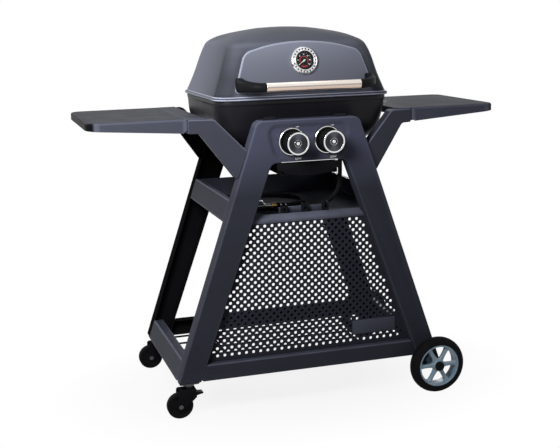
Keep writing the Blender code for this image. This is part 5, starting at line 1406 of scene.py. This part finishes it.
class BARBECUE_OT_rails(Maker):
    """Fold the bottom rails, the mid tray and the tool rail"""

    bl_idname = "barbecue.rails"
    bl_label = "Rails and tray"

    def make(self, context):
        self.make_rails()
        self.make_tray()
        dressed("tool_rail", "graphite_sheet", "cart", 0.0006)
        self.make_clips()
        self.make_apron()

    def make_rails(self):
        places = ((-1, FRAME_FOOT), (1, FRAME_FOOT), (1, RAIL_TOP), (-1, RAIL_TOP))
        outline = rounded([(side * between_legs(z), z, RAIL_CORNER) for side, z in places], 4)
        for end, word in ENDS:
            rail = pressed_sheet(f"rail_{word}", outline, lambda x: end * RAIL_Y, -end, RAIL_DEPTH)
            finished(rail, "graphite_sheet" if end < 0 else "black_sheet", "cart", [f"bottom_rail_{word}"])
        low, high = leg_outer(FRAME_FOOT), leg_outer(SIDE_RAIL_TOP)
        section = (
            (low - RAIL_FLANGE, FRAME_FOOT), (low, FRAME_FOOT), (high, SIDE_RAIL_TOP),
            (high - RAIL_FLANGE, SIDE_RAIL_TOP),
        )
        for side, word in SIDES:
            rail = folded_section(f"rail_{word}", mirrored(section, side))
            facing(rail, (side, 0, 0), lambda centre: 0.11 < centre.z < 0.15)
            rail = eased(walled(rail, True), SHEET_EASE, 60)
            finished(rail, "graphite_sheet", "cart", [f"bottom_rail_{word}"])

    def make_tray(self):
        low, high = leg_outer(TRAY_FLOOR), leg_outer(TRAY_TOP)
        half = ((low, TRAY_FLOOR), (high, TRAY_TOP), (high - TRAY_LIP, TRAY_TOP))
        tray = folded_section("tray_sheet", [*reversed(mirrored(half, -1)), *half])
        facing(tray, (0, 0, -1), lambda centre: centre.z < TRAY_FLOOR + 0.001)
        foot, top = (low - 0.002, TRAY_FLOOR + 0.001), (high - 0.002, TRAY_TOP - 0.001)
        wall = [Vector((side * x, z)) for side, (x, z) in ((-1, foot), (1, foot), (1, top), (-1, top))]
        back = slab("tray_back", [wall], across_y(RIM - GAP - SHEET), (0, SHEET - GAP, 0))
        tray = join([eased(walled(tray, True), SHEET_EASE, 60), back], "tray_sheet")
        finished(tray, "graphite_sheet", "cart", ["mid_tray"])

    def make_clips(self):
        """Three forked clips in a row behind the tool rail."""
        spread, floor = 0.060, TRAY_FLOOR + SHEET
        half = (
            (0.0080, 0.010, 0.001), (0.0080, 0.033, 0.002), (0.0046, 0.033, 0.0), (0.0046, 0.015, 0.002),
        )
        corners = [*half, *reversed(mirrored(half, -1))]
        clips = []
        for step in (-1, 0, 1):
            outline = rounded([(step * spread + x, floor + z, ease) for x, z, ease in corners], 4)
            clips.append(eased(slab("clip", [outline], across_y(-0.1990), (0, 0.0158, 0)), 0.0006))
        finished(join(clips, "tool_clips"), "black_plastic")

    def make_apron(self):
        """The thin lip that hangs in front of the tray."""
        profile = (
            (-0.1965, 0.5402), (-0.2160, 0.5290), (-0.2176, 0.5270), (-0.2184, 0.5196), (-0.2170, 0.5196),
            (-0.2150, 0.5262), (-0.1965, 0.5380),
        )
        ends = [[Vector((side * (leg_inner(z) - 0.0008), y, z)) for y, z in profile] for side, _ in SIDES]
        finished(eased(loft("tray_apron", ends), SHEET_EASE), "graphite_sheet")


class BARBECUE_OT_panel(Maker):
    """Punch the front panel and lay the wire rack"""

    bl_idname = "barbecue.panel"
    bl_label = "Front panel and rack"

    def make(self, context):
        size = sheet_sizes()
        low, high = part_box("perforated_panel")
        self.punch(size, low, high)
        corners = [(x, z, 0.004) for x, z in ((0.128, 0.178), (0.258, 0.178), (0.258, 0.218), (0.128, 0.218))]
        badge = slab("badge_plate", [rounded(corners)], across_y(low.y - 0.0001), (0, -0.0022, 0))
        finished(eased(badge, 0.0007), "graphite_sheet")
        self.make_rack(size.wire)

    def punch(self, size, low, high):
        """A sheet of cells, every second one with a round hole, trimmed to the slope of the legs."""
        wide, tall = 2 * high.x, high.z - low.z
        across, up = wide / size.columns, tall / size.rows
        radius = size.hole / 2
        grid = {"x_subdivisions": size.columns, "y_subdivisions": size.rows, "size": 1}
        panel = started("punched_panel", bpy.ops.mesh.primitive_grid_add, **grid)
        for vertex in panel.data.vertices:
            vertex.co = (vertex.co.x * wide, low.y, low.z + (vertex.co.y + 0.5) * tall)

        def cell(point):
            return math.floor((point.x + wide / 2) / across), math.floor((point.z - low.z) / up)

        def punched(face):
            centre = face.calc_center_median()
            column, row = cell(centre)
            inside = abs(centre.x) + radius * 1.1 + 0.004 < between_legs(centre.z + radius)
            return (column + row) % 2 == 0 and inside and 0 < row < size.rows - 1

        def on_circle(vertex):
            column, row = cell(vertex.co)
            centre = Vector((-wide / 2 + (column + 0.5) * across, low.y, low.z + (row + 0.5) * up))
            return centre + (vertex.co - centre).normalized() * radius

        with Editing(panel) as edit:
            edit.pick("FACE", punched)
            bpy.ops.mesh.inset(thickness=across * 0.2, use_individual=True)
            bpy.ops.mesh.delete(type="FACE")
            edit.pick("EDGE", lambda edge: edge.is_boundary and edge.calc_length() < across * 0.7)
            bpy.ops.mesh.subdivide(number_cuts=2)
            edit.place(on_circle)
            slope = between_legs(high.z) - between_legs(low.z)
            for side, _ in SIDES:
                edit.pick("FACE")
                corner = (side * between_legs(low.z), low.y, low.z)
                bpy.ops.mesh.bisect(plane_co=corner, plane_no=(tall * side, 0, -slope), clear_outer=True)
            edit.outward()
        facing(panel, (0, -1, 0))
        modify(panel, "SOLIDIFY", thickness=SHEET, offset=-1)
        finished(panel, "perforated_sheet", "cart", ["perforated_panel"])

    def make_rack(self, radius):
        z = FRAME_FOOT + SHEET + GAP + radius
        half = leg_outer(z + radius) - 2 * SHEET
        depth = RIM - 0.030
        gaps = 5
        lines = []
        for y in (mix(-depth, depth, step / gaps) for step in range(gaps + 1)):
            lines.append(((-half, y, z), (half, y, z)))
        for x in (-0.2, 0.2):
            reach = depth + 2 * radius
            lines.append(((x, -reach, z + radius), (x, reach, z + radius)))
        wires = [rod("wire", *line, radius, 14, 0.5) for line in lines]
        finished(join(wires, "rack_wires"), "black_sheet", "cart", ["wire_rack"])


# Wheels and casters


def build_tyre(word, end):
    """A moulded tyre with staggered tread blocks and ribs round its shoulders."""
    turns = 2 * grill_sizes().tread
    seat = HUB_RADIUS + GAP
    middle, half = (WHEEL_IN + WHEEL_OUT) / 2, (WHEEL_OUT - WHEEL_IN) / 2
    outer = [
        (seat, half, 0), (seat + 0.0035, half, 0.001), (seat + 0.0055, half - 0.0008, 0.001),
        (WHEEL_RADIUS - 0.0085, half - 0.0008, 0.002), (WHEEL_RADIUS - 0.0045, half - 0.0035, 0.003),
        (WHEEL_RADIUS - 0.0016, half - 0.0085, 0.001), (WHEEL_RADIUS, half - 0.014, 0.004),
    ]
    outline = outer + [(radius, -height, ease) for radius, height, ease in reversed(outer)]
    tyre = spun(f"tyre_tread_{word}", rounded(outline, 2, False), (0, 0, 0), (0, 0, 1), turns, True)

    def groove(face):
        centre = face.calc_center_median()
        turn = math.floor(math.atan2(centre.y, centre.x) / (2 * math.pi) * turns + 1e-6)
        shoulder = abs(centre.z) >= half - 0.0125
        return math.hypot(centre.x, centre.y) >= WHEEL_RADIUS - 0.0062 and (turn + shoulder) % 2 == 0

    with Editing(tyre) as edit:
        edit.pick("FACE", groove)
        bpy.ops.mesh.inset(thickness=0.0004, depth=-0.0016, use_individual=False)
    settle(tyre, Vector((0, end, 0)).to_track_quat("Z", "Y"), (WHEEL_X, end * middle, WHEEL_RADIUS))
    finished(tyre, "tyre_rubber", f"wheel_{word}", [f"tyre_{word}"])


def build_hub(word, end):
    """A moulded hub: a rim, a boss and rounded spokes with deep windows between them, and its cap."""
    base, axis = (WHEEL_X, 0, WHEEL_RADIUS), (0, end, 0)
    inside, outside = WHEEL_IN + GAP, WHEEL_OUT - GAP
    rim_in, bore, boss_in = HUB_RADIUS - 0.0065, AXLE_RADIUS + 0.0004, 0.2406
    rim = (
        (HUB_RADIUS, outside, 0.0012), (rim_in + 0.002, outside, 0.0014), (rim_in, outside - 0.007, 0.001),
        (rim_in, inside, 0.001), (HUB_RADIUS, inside, 0.0008),
    )
    boss = (
        (bore, boss_in, 0.0005), (bore, WHEEL_OUT, 0.0005), (0.0150, WHEEL_OUT, 0.0015),
        (0.0180, outside - 0.006, 0.003), (0.0180, outside - 0.016, 0.001), (0.0150, outside - 0.017, 0.001),
        (0.0150, boss_in, 0.001),
    )
    parts = [turned("hub_rim", rim, 3, base, axis, 96, True)]
    parts.append(turned("hub_boss", boss, 4, base, axis, 48, True))
    # A spoke's half width at each distance from the axle
    stations = (
        (0.0140, 0.0085), (0.0190, 0.0066), (0.0270, 0.0054), (0.0380, 0.0052), (0.0470, 0.0058),
        (0.0560, 0.0080),
    )
    back, face, soft = outside - 0.016, outside - 0.0052, 0.0034
    loops = []
    for radius, half in stations:
        corners = ((-half, back, 0.001), (half, back, 0.001), (half, face, soft), (-half, face, soft))
        loops.append([Vector((radius, p.x, p.y)) for p in rounded(corners, 4)])
    spoke = loft("spoke", loops)
    count = grill_sizes().spokes
    turn = Matrix.Translation(base) @ Vector(axis).to_track_quat("Z", "Y").to_matrix().to_4x4()
    for step in range(count):
        twin = copy_of(spoke, "spoke")
        twin.data.transform(turn @ Matrix.Rotation(2 * math.pi * step / count, 4, "Z"))
        parts.append(twin)
    bpy.data.objects.remove(spoke)
    finished(join(parts, f"hub_moulding_{word}"), "blue_grey_hub", f"wheel_{word}", [f"hub_{word}"], 45)
    start = WHEEL_OUT + GAP
    cap = (
        (0, start + 0.0058, 0), (0.0075, start + 0.0058, 0.0008), (0.0088, start + 0.0088, 0.0014),
        (0.0125, start + 0.0062, 0.002), (0.0140, start, 0.0006), (0, start, 0),
    )
    cap = turned(f"hub_button_{word}", cap, 4, base, axis, 48)
    finished(cap, "black_plastic", f"wheel_{word}", [f"hub_cap_{word}"])


class BARBECUE_OT_wheels(Maker):
    """Mould the two wheels and turn the axle"""

    bl_idname = "barbecue.wheels"
    bl_label = "Wheels"

    def make(self, context):
        start, end = ((WHEEL_X, corner.y, WHEEL_RADIUS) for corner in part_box("axle"))
        finished(rod("axle_bar", start, end, AXLE_RADIUS, 32, 0.2), "plain_steel", "cart", ["axle"])
        for end, word in ENDS:
            build_tyre(word, end)
            build_hub(word, end)


class BARBECUE_OT_casters(Maker):
    """Dress the two swivel casters and mould their wheels"""

    bl_idname = "barbecue.casters"
    bl_label = "Casters"

    def make(self, context):
        for end, word in ENDS:
            for part, slot, body, ease in (
                ("plate", "dark_steel", "cart", 0.0005),
                ("fork", "black_sheet", f"fork_{word}", 0.0005),
                ("brake", "black_plastic", f"brake_{word}", 0.0006),
                ("pin", "dark_steel", f"fork_{word}", 0.0004),
            ):
                dressed(f"caster_{part}_{word}", slot, body, ease)
            self.make_wheel(word, end)

    def make_wheel(self, word, end):
        half = 0.012
        outer = [
            (0.0044, half, 0.0005), (0.0110, half, 0.001), (0.0140, half - 0.003, 0.001),
            (0.0255, half - 0.003, 0.001), (0.0275, half - 0.001, 0.001), (0.0320, half - 0.001, 0.002),
            (CASTER_RADIUS, half - 0.004, 0.003),
        ]
        outline = outer + [(radius, -height, ease) for radius, height, ease in reversed(outer)]
        base = (CASTER_AXLE_X, end * CASTER_Y, CASTER_RADIUS)
        wheel = turned(f"caster_tread_{word}", outline, 4, base, (0, 1, 0), 64, True)
        finished(wheel, "caster_rubber", f"caster_{word}", [f"caster_wheel_{word}"])


# Grill


def body_loop(half, front, back, radius, z, back_radius=None):
    """A rounded rectangle level with the ground."""
    steps, side_steps = 9, 8
    rear = back_radius or radius
    corners = ((-half, front, radius), (half, front, radius), (half, back, rear), (-half, back, rear))
    arcs = []
    for index, (x, y, bend) in enumerate(corners):
        centre = Vector((x - math.copysign(bend, x), y + bend if index < 2 else y - bend))
        angles = [math.pi * (1 + (index + step / steps) / 2) for step in range(steps + 1)]
        arcs.append([centre + Vector((math.cos(angle), math.sin(angle))) * bend for angle in angles])
    points = []
    for arc, following in zip(arcs, arcs[1:] + arcs[:1]):
        points += arc
        points += [arc[-1].lerp(following[0], step / side_steps) for step in range(1, side_steps)]
    return [Vector((point.x, point.y, z)) for point in points]


def lid_front(height):
    """Y of the lid's leaning front at a height above its foot."""
    return LID_FRONT + 0.006 + (height - LID_FOOT) * LID_LEAN


def ear_outline(upper, lower, first, last):
    """An ear that leaves a casting between two points and goes round the hinge rod."""
    points = [Vector(upper), Vector(lower)]
    steps = 16
    for angle in (mix(first, last, step / steps) for step in range(steps + 1)):
        y, z = HINGE_Y + EAR_RADIUS * math.cos(angle), HINGE_Z + EAR_RADIUS * math.sin(angle)
        points.append(Vector((y, z)))
    return points


def hinge_ears(name, outline, start):
    """The ears at the two sides, bored for the hinge rod."""
    outlines = [outline, ring(PIN_BORE, 24, (HINGE_Y, HINGE_Z))]
    ears = []
    for side, _ in SIDES:
        ears.append(eased(slab(name, outlines, across_x(side * start), (side * EAR_THICK, 0, 0)), 0.0006))
    return ears


class BARBECUE_OT_firebox(Maker):
    """Cast the firebox with its ledge, lugs, runners and hinge ears"""

    bl_idname = "barbecue.firebox"
    bl_label = "Firebox"

    def make(self, context):
        rows = smooth_rows(FIREBOX_OUTSIDE, 22)
        # Rim's lip and the ledge inside it: depth below the rim, inset at the sides, inset at front and back
        lip = (
            (0.0002, 0.0012, 0.0012), (0.0012, 0.0002, 0.0002), (0.0022, 0.0, 0.0), (0.0085, 0.0, 0.0),
            (0.0098, 0.0002, 0.0003), (0.0108, 0.0005, 0.0010), (0.0118, 0.0008, 0.0022),
        )
        ledge = 0.021
        inside = [
            (0.0, 0.006, 0.006), (0.0195, 0.010, 0.010), (0.020, 0.0108, 0.0108), (0.0205, 0.020, 0.020),
            (0.0215, ledge, ledge),
        ]
        wall = 0.005
        for depth, side, end in rows[8:]:
            lift = wall if depth > 0.130 else 0.003
            inside.append((depth - lift, max(side + wall, ledge), max(end + wall, ledge)))
        outside = [*lip, *rows]
        firebox = loft("firebox_shell", [self.loop(*row) for row in [*reversed(outside), *inside]])
        for side, _ in SIDES:
            x = side * KNOB_X
            bored(firebox, (x, -0.22, KNOB_Z), (x, -0.12, KNOB_Z), 0.0116)
        cut(firebox, block("cutter", (-0.022, -0.022, 0.70), (0.022, 0.022, 0.74), 0.003))
        finished(firebox, "black_casting", "cart", ["firebox"])
        finished(join(self.fittings(), "firebox_fittings"), "black_casting")

    def loop(self, depth, side, end):
        radius = 0.046 - min(side, end) * 0.35
        front, back = FIREBOX_FRONT + end, FIREBOX_BACK - end
        return body_loop(FIREBOX_HALF - side, front, back, radius, FIREBOX_TOP - depth)

    def fittings(self):
        """Lugs on the frames, tray runners, burner posts and hinge ears."""
        parts = []
        outer, foot, top, toe = 0.0955, 0.6747, 0.722, 0.0115
        section = (
            (outer - SHEET, top), (outer - SHEET, foot), (outer - toe, foot), (outer - toe, foot - SHEET),
            (outer, foot - SHEET), (outer, top),
        )
        for side, _ in SIDES:
            left, right = sorted((side * 0.084, side * 0.116))
            for near, far in ((-0.214, -0.190), (0.168, 0.214)):
                parts.append(block("lug", (left, near, 0.8003), (right, far, 0.8063), 0.0012))
            outline = [Vector(point) for point in mirrored(section, side)]
            parts.append(eased(slab("runner", [outline], across_y(-0.124), (0, 0.224, 0)), 0.0005))
            x = side * (KNOB_X + 0.0075)
            parts.append(rod("post", (x, 0.065, 0.7205), (x, 0.065, 0.7327), 0.006))
        upper, lower = (FIREBOX_BACK - 0.008, 0.834), (FIREBOX_BACK - 0.016, 0.823)
        outline = ear_outline(upper, lower, -math.pi * 0.55, math.pi * 0.95)
        return parts + hinge_ears("firebox_ear", outline, 0.144)


class BARBECUE_OT_lid(Maker):
    """Cast the domed lid, its raised front and its hinge"""

    bl_idname = "barbecue.lid"
    bl_label = "Lid"

    def make(self, context):
        # Bead round the foot: height and inset
        bead = (
            (0.0, 0.0038), (0.0006, 0.0018), (0.0020, 0.0005), (0.0045, 0.0), (0.0068, 0.0005),
            (0.0084, 0.0018), (0.0092, 0.0036), (0.0102, 0.0052),
        )
        rows = [(height, inset, inset, inset, 0.044, 0.044) for height, inset in bead]
        rows += smooth_rows(LID_SKIN, 44)
        rows += [(0.1870, 0.215, 0.188, 0.192, 0.05, 0.05), (0.1878, 0.234, 0.202, 0.203, 0.05, 0.05)]
        lid = loft("lid_shell", [self.loop(*row) for row in rows], "OPEN", "POLE")
        facing(lid, (0, -1, 0), lambda centre: centre.y < LID_FRONT + 0.02)
        modify(lid, "SOLIDIFY", thickness=LID_WALL, offset=-1, use_even_offset=False)
        finished(lid, "gunmetal_casting", "lid_body", ["lid"], 50)
        self.make_shield()
        back = lambda height: LID_BACK + LID_FRONT - lid_front(height) - 0.0015
        upper, lower = ((back(height), LID_BOTTOM + height) for height in (0.0316, 0.0145))
        outline = ear_outline(upper, lower, -math.pi * 0.65, math.pi * 0.55)
        finished(join(hinge_ears("lid_ear", outline, 0.1503), "lid_ears"), "gunmetal_casting", "lid_body")
        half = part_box("hinge_rod")[1].x
        start, end = ((side * half, HINGE_Y, HINGE_Z) for side, _ in SIDES)
        finished(rod("hinge_bar", start, end, 0.003, 24, 0.3), "plain_steel", "cart", ["hinge_rod"])

    def loop(self, height, side, front, back, corner, rear_corner):
        half = LID_HALF - side
        near, far = LID_FRONT + front, LID_BACK - back
        limit = 0.46 * min(2 * half, far - near)
        return body_loop(half, near, far, min(corner, limit), LID_BOTTOM + height, min(rear_corner, limit))

    def make_shield(self):
        """The raised front: straight sides that lean in, and an arched top."""
        bend, peak, ease = 0.505, 0.1515, 0.004
        across = [0.11 - 0.01 * step for step in range(23)]
        arch = [(x, peak - bend + math.sqrt(bend * bend - x * x), 0) for x in across]
        foot, shoulder = (0.198, 0.018, 0.010), (0.163, 0.1245, 0.036)
        left_foot, left_shoulder = mirrored((foot, shoulder), -1)
        outline = rounded([left_foot, foot, shoulder, *arch, left_shoulder], 12)
        levels = [(0.0, -0.002), (0.0, SHIELD_RAISE - ease)]
        steps = 6
        for angle in (math.pi / 2 * step / steps for step in range(1, steps + 1)):
            levels.append((ease * (1 - math.cos(angle)), SHIELD_RAISE - ease + ease * math.sin(angle)))
        levels.append((ease + 0.002, SHIELD_RAISE))
        loops = []
        for inset, lift in levels:
            points = offset_inward(outline, inset)
            loops.append([Vector((p.x, lid_front(p.y) - lift, LID_BOTTOM + p.y)) for p in points])
        finished(loft("lid_shield", loops), "shield_enamel", "lid_body", (), 30)


class BARBECUE_OT_handle(Maker):
    """Fit the handle tube between its two horns"""

    bl_idname = "barbecue.handle"
    bl_label = "Handle"

    def make(self, context):
        radius = grill_sizes().handle
        y = lid_front(HANDLE_UP) - SHIELD_RAISE - HANDLE_OUT
        z = LID_BOTTOM + HANDLE_UP
        span = 2 * HANDLE_HALF
        corners = ((0, 0, 0), (radius, 0, 0.0006), (radius, span, 0.0006), (0, span, 0))
        tube = turned("handle_bar", corners, 4, (-HANDLE_HALF, y, z), (1, 0, 0), 64)
        finished(tube, "stainless_tube", "lid_body", ["handle_tube"])
        for side, word in SIDES:
            horn = eased(loft(f"handle_horn_{word}", self.horn(side, y, z, radius)), 0.0010, 50)
            finished(horn, "black_plastic", "lid_body", [f"handle_bracket_{word}"], 40)

    def horn(self, side, y, z, radius):
        """Rings that turn from the tube's round end back to a squarer foot on the lid's front."""
        loops = []
        start = HANDLE_HALF + GAP
        steps = 20
        for step in range(steps + 1):
            angle = math.pi / 2 * step / steps
            share = math.sin(angle / 2) ** 2 * 2
            wide, tall = mix(radius, 0.012, share), mix(radius, 0.019, share)
            squareness, lift = mix(1.0, 0.45, share), 0.004 * share
            centre_x = start + (HANDLE_ROOT_X - start) * math.sin(angle)
            centre_y = y + HANDLE_OUT * (1 - math.cos(angle))
            loop = []
            for point in ring(1.0, 36):
                u = math.copysign(abs(point.x) ** squareness, point.x) * wide
                v = math.copysign(abs(point.y) ** squareness, point.y) * tall + lift
                out = centre_y - u * math.cos(angle)
                if step == steps:
                    out = lid_front(z + v - LID_BOTTOM) - SHIELD_RAISE - GAP
                loop.append(Vector((side * (centre_x + u * math.sin(angle)), out, z + v)))
            loops.append(loop)
        return loops


def dial_place(out):
    """A point on the thermometer's axis this far out of the lid's front, and that axis."""
    normal = Vector((0, -math.cos(DIAL_TILT), math.sin(DIAL_TILT)))
    base = Vector((0, lid_front(DIAL_UP) - SHIELD_RAISE, LID_BOTTOM + DIAL_UP))
    return base + normal * out, normal


def on_dial(points, out):
    """Places flat points, right and up as seen from the front, on the dial."""
    base, normal = dial_place(out)
    turn = normal.to_track_quat("Z", "Y")
    return [base + turn @ Vector((p.x, p.y, 0)) for p in points]


class BARBECUE_OT_thermometer(Maker):
    """Assemble the thermometer: bezel, dial, marks, needle and glass"""

    bl_idname = "barbecue.thermometer"
    bl_label = "Thermometer"

    def make(self, context):
        base, normal = dial_place(GAP)
        radius, inner = 0.0245, 0.0248
        bezel = (
            (inner, 0, 0.0003), (0.0370, 0, 0.0005), (0.0370, 0.0055, 0.0012), (0.0345, 0.0088, 0.0012),
            (0.0328, 0.0096, 0.0008), (0.0290, 0.0100, 0.0008), (0.0274, 0.0120, 0.0010),
            (0.0256, 0.0120, 0.0008), (inner, 0.0100, 0.0005),
        )
        bezel = turned("dial_bezel", bezel, 4, base, normal, 96, True)
        finished(bezel, "bright_chrome", "lid_body", ["thermometer_bezel"])
        stud = ((0, 0.0010), (0.0013, 0.0008), (0.0021, 0.0), (0.0021, -0.0006), (0, -0.0006))
        places = on_dial(ring(0.0309, grill_sizes().dial_dots), GAP + 0.0099)
        studs = [spun("stud", stud, place, normal, 10) for place in places]
        finished(join(studs, "dial_studs"), "black_plastic", "lid_body")
        face = ((0, 0, 0), (radius, 0, 0.0002), (radius, DIAL_FACE, 0.0004), (0, DIAL_FACE, 0))
        dial = turned("dial_plate", face, 3, base, normal, 72)
        finished(dial, "dial_face", "lid_body", ["thermometer_dial"])
        self.make_marks(normal)
        self.make_needle(normal)
        low, high = 0.0090, 0.0105
        glass = ((0, low, 0), (radius, low, 0.0002), (radius, 0.0100, 0.0004), (0.012, high, 0), (0, high, 0))
        cover = turned("dial_cover", glass, 3, base, normal, 72)
        finished(cover, "clear_glass", "lid_body", ["thermometer_glass"])

    def make_marks(self, normal):
        """Ticks round the dial, every fifth one long, and two red zones."""
        first, last, count = 215, -35, 30
        ticks = []
        for step in range(count + 1):
            angle = math.radians(mix(first, last, step / count))
            inner, outer, half = (0.0200, 0.0208, 0.00030) if step % 5 else (0.0150, 0.0188, 0.00125)
            way = Vector((math.cos(angle), math.sin(angle)))
            side = Vector((-way.y, way.x)) * half
            corners = [way * inner - side, way * outer - side, way * outer + side, way * inner + side]
            ticks.append(self.flat("tick", corners, normal))
        finished(join(ticks, "dial_ticks"), "needle_white", "lid_body")
        zones = []
        for start, end, inner, outer in ((first, last, 0.0100, 0.0128), (-58, -122, 0.0135, 0.0178)):
            steps = 28
            angles = [math.radians(mix(start, end, step / steps)) for step in range(steps + 1)]
            arc = [Vector((math.cos(a), math.sin(a))) * outer for a in angles]
            arc += [Vector((math.cos(a), math.sin(a))) * inner for a in reversed(angles)]
            zones.append(self.flat("zone", counter_clockwise(arc), normal))
        finished(join(zones, "dial_zones"), "dial_red", "lid_body")

    def flat(self, name, points, normal):
        """A printed mark, as thin as paint."""
        piece = new_loop(name, on_dial(points, GAP + DIAL_FACE + 0.00005))
        with Editing(piece) as edit:
            edit.pick("EDGE")
            bpy.ops.mesh.edge_face_add()
            edit.thicken(normal * 0.00018)
        return piece

    def make_needle(self, normal):
        seat, _ = dial_place(2 * GAP + DIAL_FACE)
        turn = normal.to_track_quat("Z", "Y") @ Quaternion((0, 0, 1), math.radians(125))
        corners = (
            (-0.0022, -0.0042, 0.0008), (0.0022, -0.0042, 0.0008), (0.0012, 0, 0), (0.0004, 0.017, 0),
            (-0.0004, 0.017, 0), (-0.0012, 0, 0),
        )
        place = lambda p: seat + turn @ Vector((p.x, p.y, 0.0006))
        needle = eased(slab("pointer", [rounded(corners, 4)], place, normal * 0.001), 0.00015)
        hub = ((0, 0, 0), (0.0026, 0, 0.0002), (0.0026, 0.0020, 0.0006), (0, 0.0024, 0))
        hub = turned("pointer_hub", hub, 4, seat, normal, 32)
        finished(join([needle, hub], "pointer"), "needle_white", "needle", ["thermometer_needle"])


class BARBECUE_OT_knobs(Maker):
    """Turn the control knobs, their rings and bezels"""

    bl_idname = "barbecue.knobs"
    bl_label = "Knobs"

    def make(self, context):
        rim = grill_sizes().knob
        for side, word in SIDES:
            self.make_bezel(word, (side * KNOB_X, RECESS_FLOOR - GAP, KNOB_Z), (0, -1, 0))
            self.make_knob(word, (side * KNOB_X, KNOB_BACK, KNOB_Z), (0, -1, 0), rim)

    def make_bezel(self, word, seat, out):
        bezel = (
            (PANEL_HOLE, 0, 0.0003), (0.0352, 0, 0.0005), (0.0352, 0.0085, 0.0005), (0.0335, 0.0125, 0.0022),
            (0.0290, 0.0125, 0.0012), (0.0270, 0.0080, 0.0010), (PANEL_HOLE, 0.0075, 0.0004),
        )
        bezel = turned(f"knob_ring_{word}", bezel, 5, seat, out, 80, True)
        finished(bezel, "black_plastic", "cart", [f"knob_bezel_{word}"])
        inner, outer = 0.0340, 0.0366
        band = ((inner, 0.0058, 0), (outer, 0.0058, 0.0006), (outer, 0.0096, 0.0010), (inner, 0.0118, 0.0006))
        finished(turned(f"knob_band_{word}", band, 4, seat, out, 80, True), "bright_chrome")

    def make_knob(self, word, base, out, rim):
        body, top = f"knob_{word}_body", KNOB_LENGTH - 0.002
        bore, waist = 0.0039, rim - 0.003
        knob = (
            (0, 0.029, 0), (bore, 0.029, 0.0003), (bore, 0, 0.0003), (rim - 0.002, 0, 0.0008),
            (rim - 0.001, KNOB_LENGTH * 0.2, 0.001), (waist, KNOB_LENGTH * 0.28, 0.001),
            (waist, KNOB_LENGTH * 0.80, 0.001), (rim, KNOB_LENGTH * 0.87, 0.0012),
            (rim - 0.0005, KNOB_LENGTH * 0.97, 0.0010), (rim - 0.004, KNOB_LENGTH, 0.0012),
            (rim - 0.006, top, 0.0006), (0, top, 0),
        )
        finished(turned(f"knob_grip_{word}", knob, 4, base, out, 80), "black_plastic", body, [f"knob_{word}"])
        eye, edge, low, high = 0.0050, rim - 0.0056, top - 0.0004, top + 0.0004
        face = ((eye, high, 0), (edge, high, 0.0002), (edge, low, 0), (eye, low, 0))
        finished(turned(f"knob_disc_{word}", face, 3, base, out, 72, True), "turned_face", body)
        rings = []
        proud = 0.0006
        for inner, outer, seat in ((rim - 0.0052, rim - 0.0010, KNOB_LENGTH), (0.0092, 0.0098, top)):
            low, high = seat + proud - 0.0022, seat + proud
            section = ((inner, low, 0), (outer, low, 0), (outer, high, proud), (inner, high, proud))
            rings.append(turned("ring", section, 4, base, out, 72, True))
        button = (
            (0, top + 0.0018, 0), (0.0040, top + 0.0015, 0.0008), (0.0052, top, 0.0004), (0, top - 0.0005, 0),
        )
        rings.append(turned("button", button, 4, base, out, 40))
        finished(join(rings, f"knob_trim_{word}"), "bright_chrome", body)


class BARBECUE_OT_burners(Maker):
    """Dress the valves, manifold, burners, grates and grease tray"""

    bl_idname = "barbecue.burners"
    bl_label = "Burners, grates and grease tray"

    def make(self, context):
        for _, word in SIDES:
            dressed(f"valve_{word}", "brass", "cart", 0.0004)
            dressed(f"valve_stem_{word}", "brass", f"stem_{word}_body", 0.0004)
            dressed(f"burner_{word}", "cast_iron", "cart", 0.0030, 3)
            dressed(f"grate_{word}", "cast_iron", "cart", 0.0022, 3)
        dressed("manifold", "plain_steel")
        dressed("grease_tray", "black_sheet", "grease_tray_body", 0.0007)


STEPS = (
    BARBECUE_OT_stage, BARBECUE_OT_gas_hose, BARBECUE_OT_frames, BARBECUE_OT_shelves, BARBECUE_OT_rails,
    BARBECUE_OT_panel, BARBECUE_OT_wheels, BARBECUE_OT_casters, BARBECUE_OT_firebox, BARBECUE_OT_lid,
    BARBECUE_OT_handle, BARBECUE_OT_thermometer, BARBECUE_OT_knobs, BARBECUE_OT_burners,
)


class BARBECUE_PT_steps(bpy.types.Panel):
    """The barbecue's sizes, colours and steps"""

    bl_idname = "BARBECUE_PT_steps"
    bl_label = "Cart barbecue"
    bl_space_type = "VIEW_3D"
    bl_region_type = "UI"
    bl_category = "Barbecue"

    def draw(self, context):
        for step in STEPS:
            self.layout.operator(step.bl_idname)
        for group, kind in GROUPS.items():
            box = self.layout.box()
            for name in kind.__annotations__:
                box.prop(getattr(context.scene, group), name)


GROUPS = {
    "barbecue_sheet": SheetSizes, "barbecue_grill": GrillSizes, "barbecue_colours": FinishColours,
    "barbecue_stage": StageSizes,
}
CLASSES = (*GROUPS.values(), *STEPS, BARBECUE_PT_steps)


def register():
    for kind in CLASSES:
        bpy.utils.register_class(kind)
    for name, kind in GROUPS.items():
        setattr(bpy.types.Scene, name, PointerProperty(type=kind))


def unregister():
    for name in GROUPS:
        delattr(bpy.types.Scene, name)
    for kind in reversed(CLASSES):
        bpy.utils.unregister_class(kind)


def main():
    register()
    for step in STEPS:
        group, name = step.bl_idname.split(".")
        getattr(getattr(bpy.ops, group), name)()


if __name__ == "__main__":
    main()
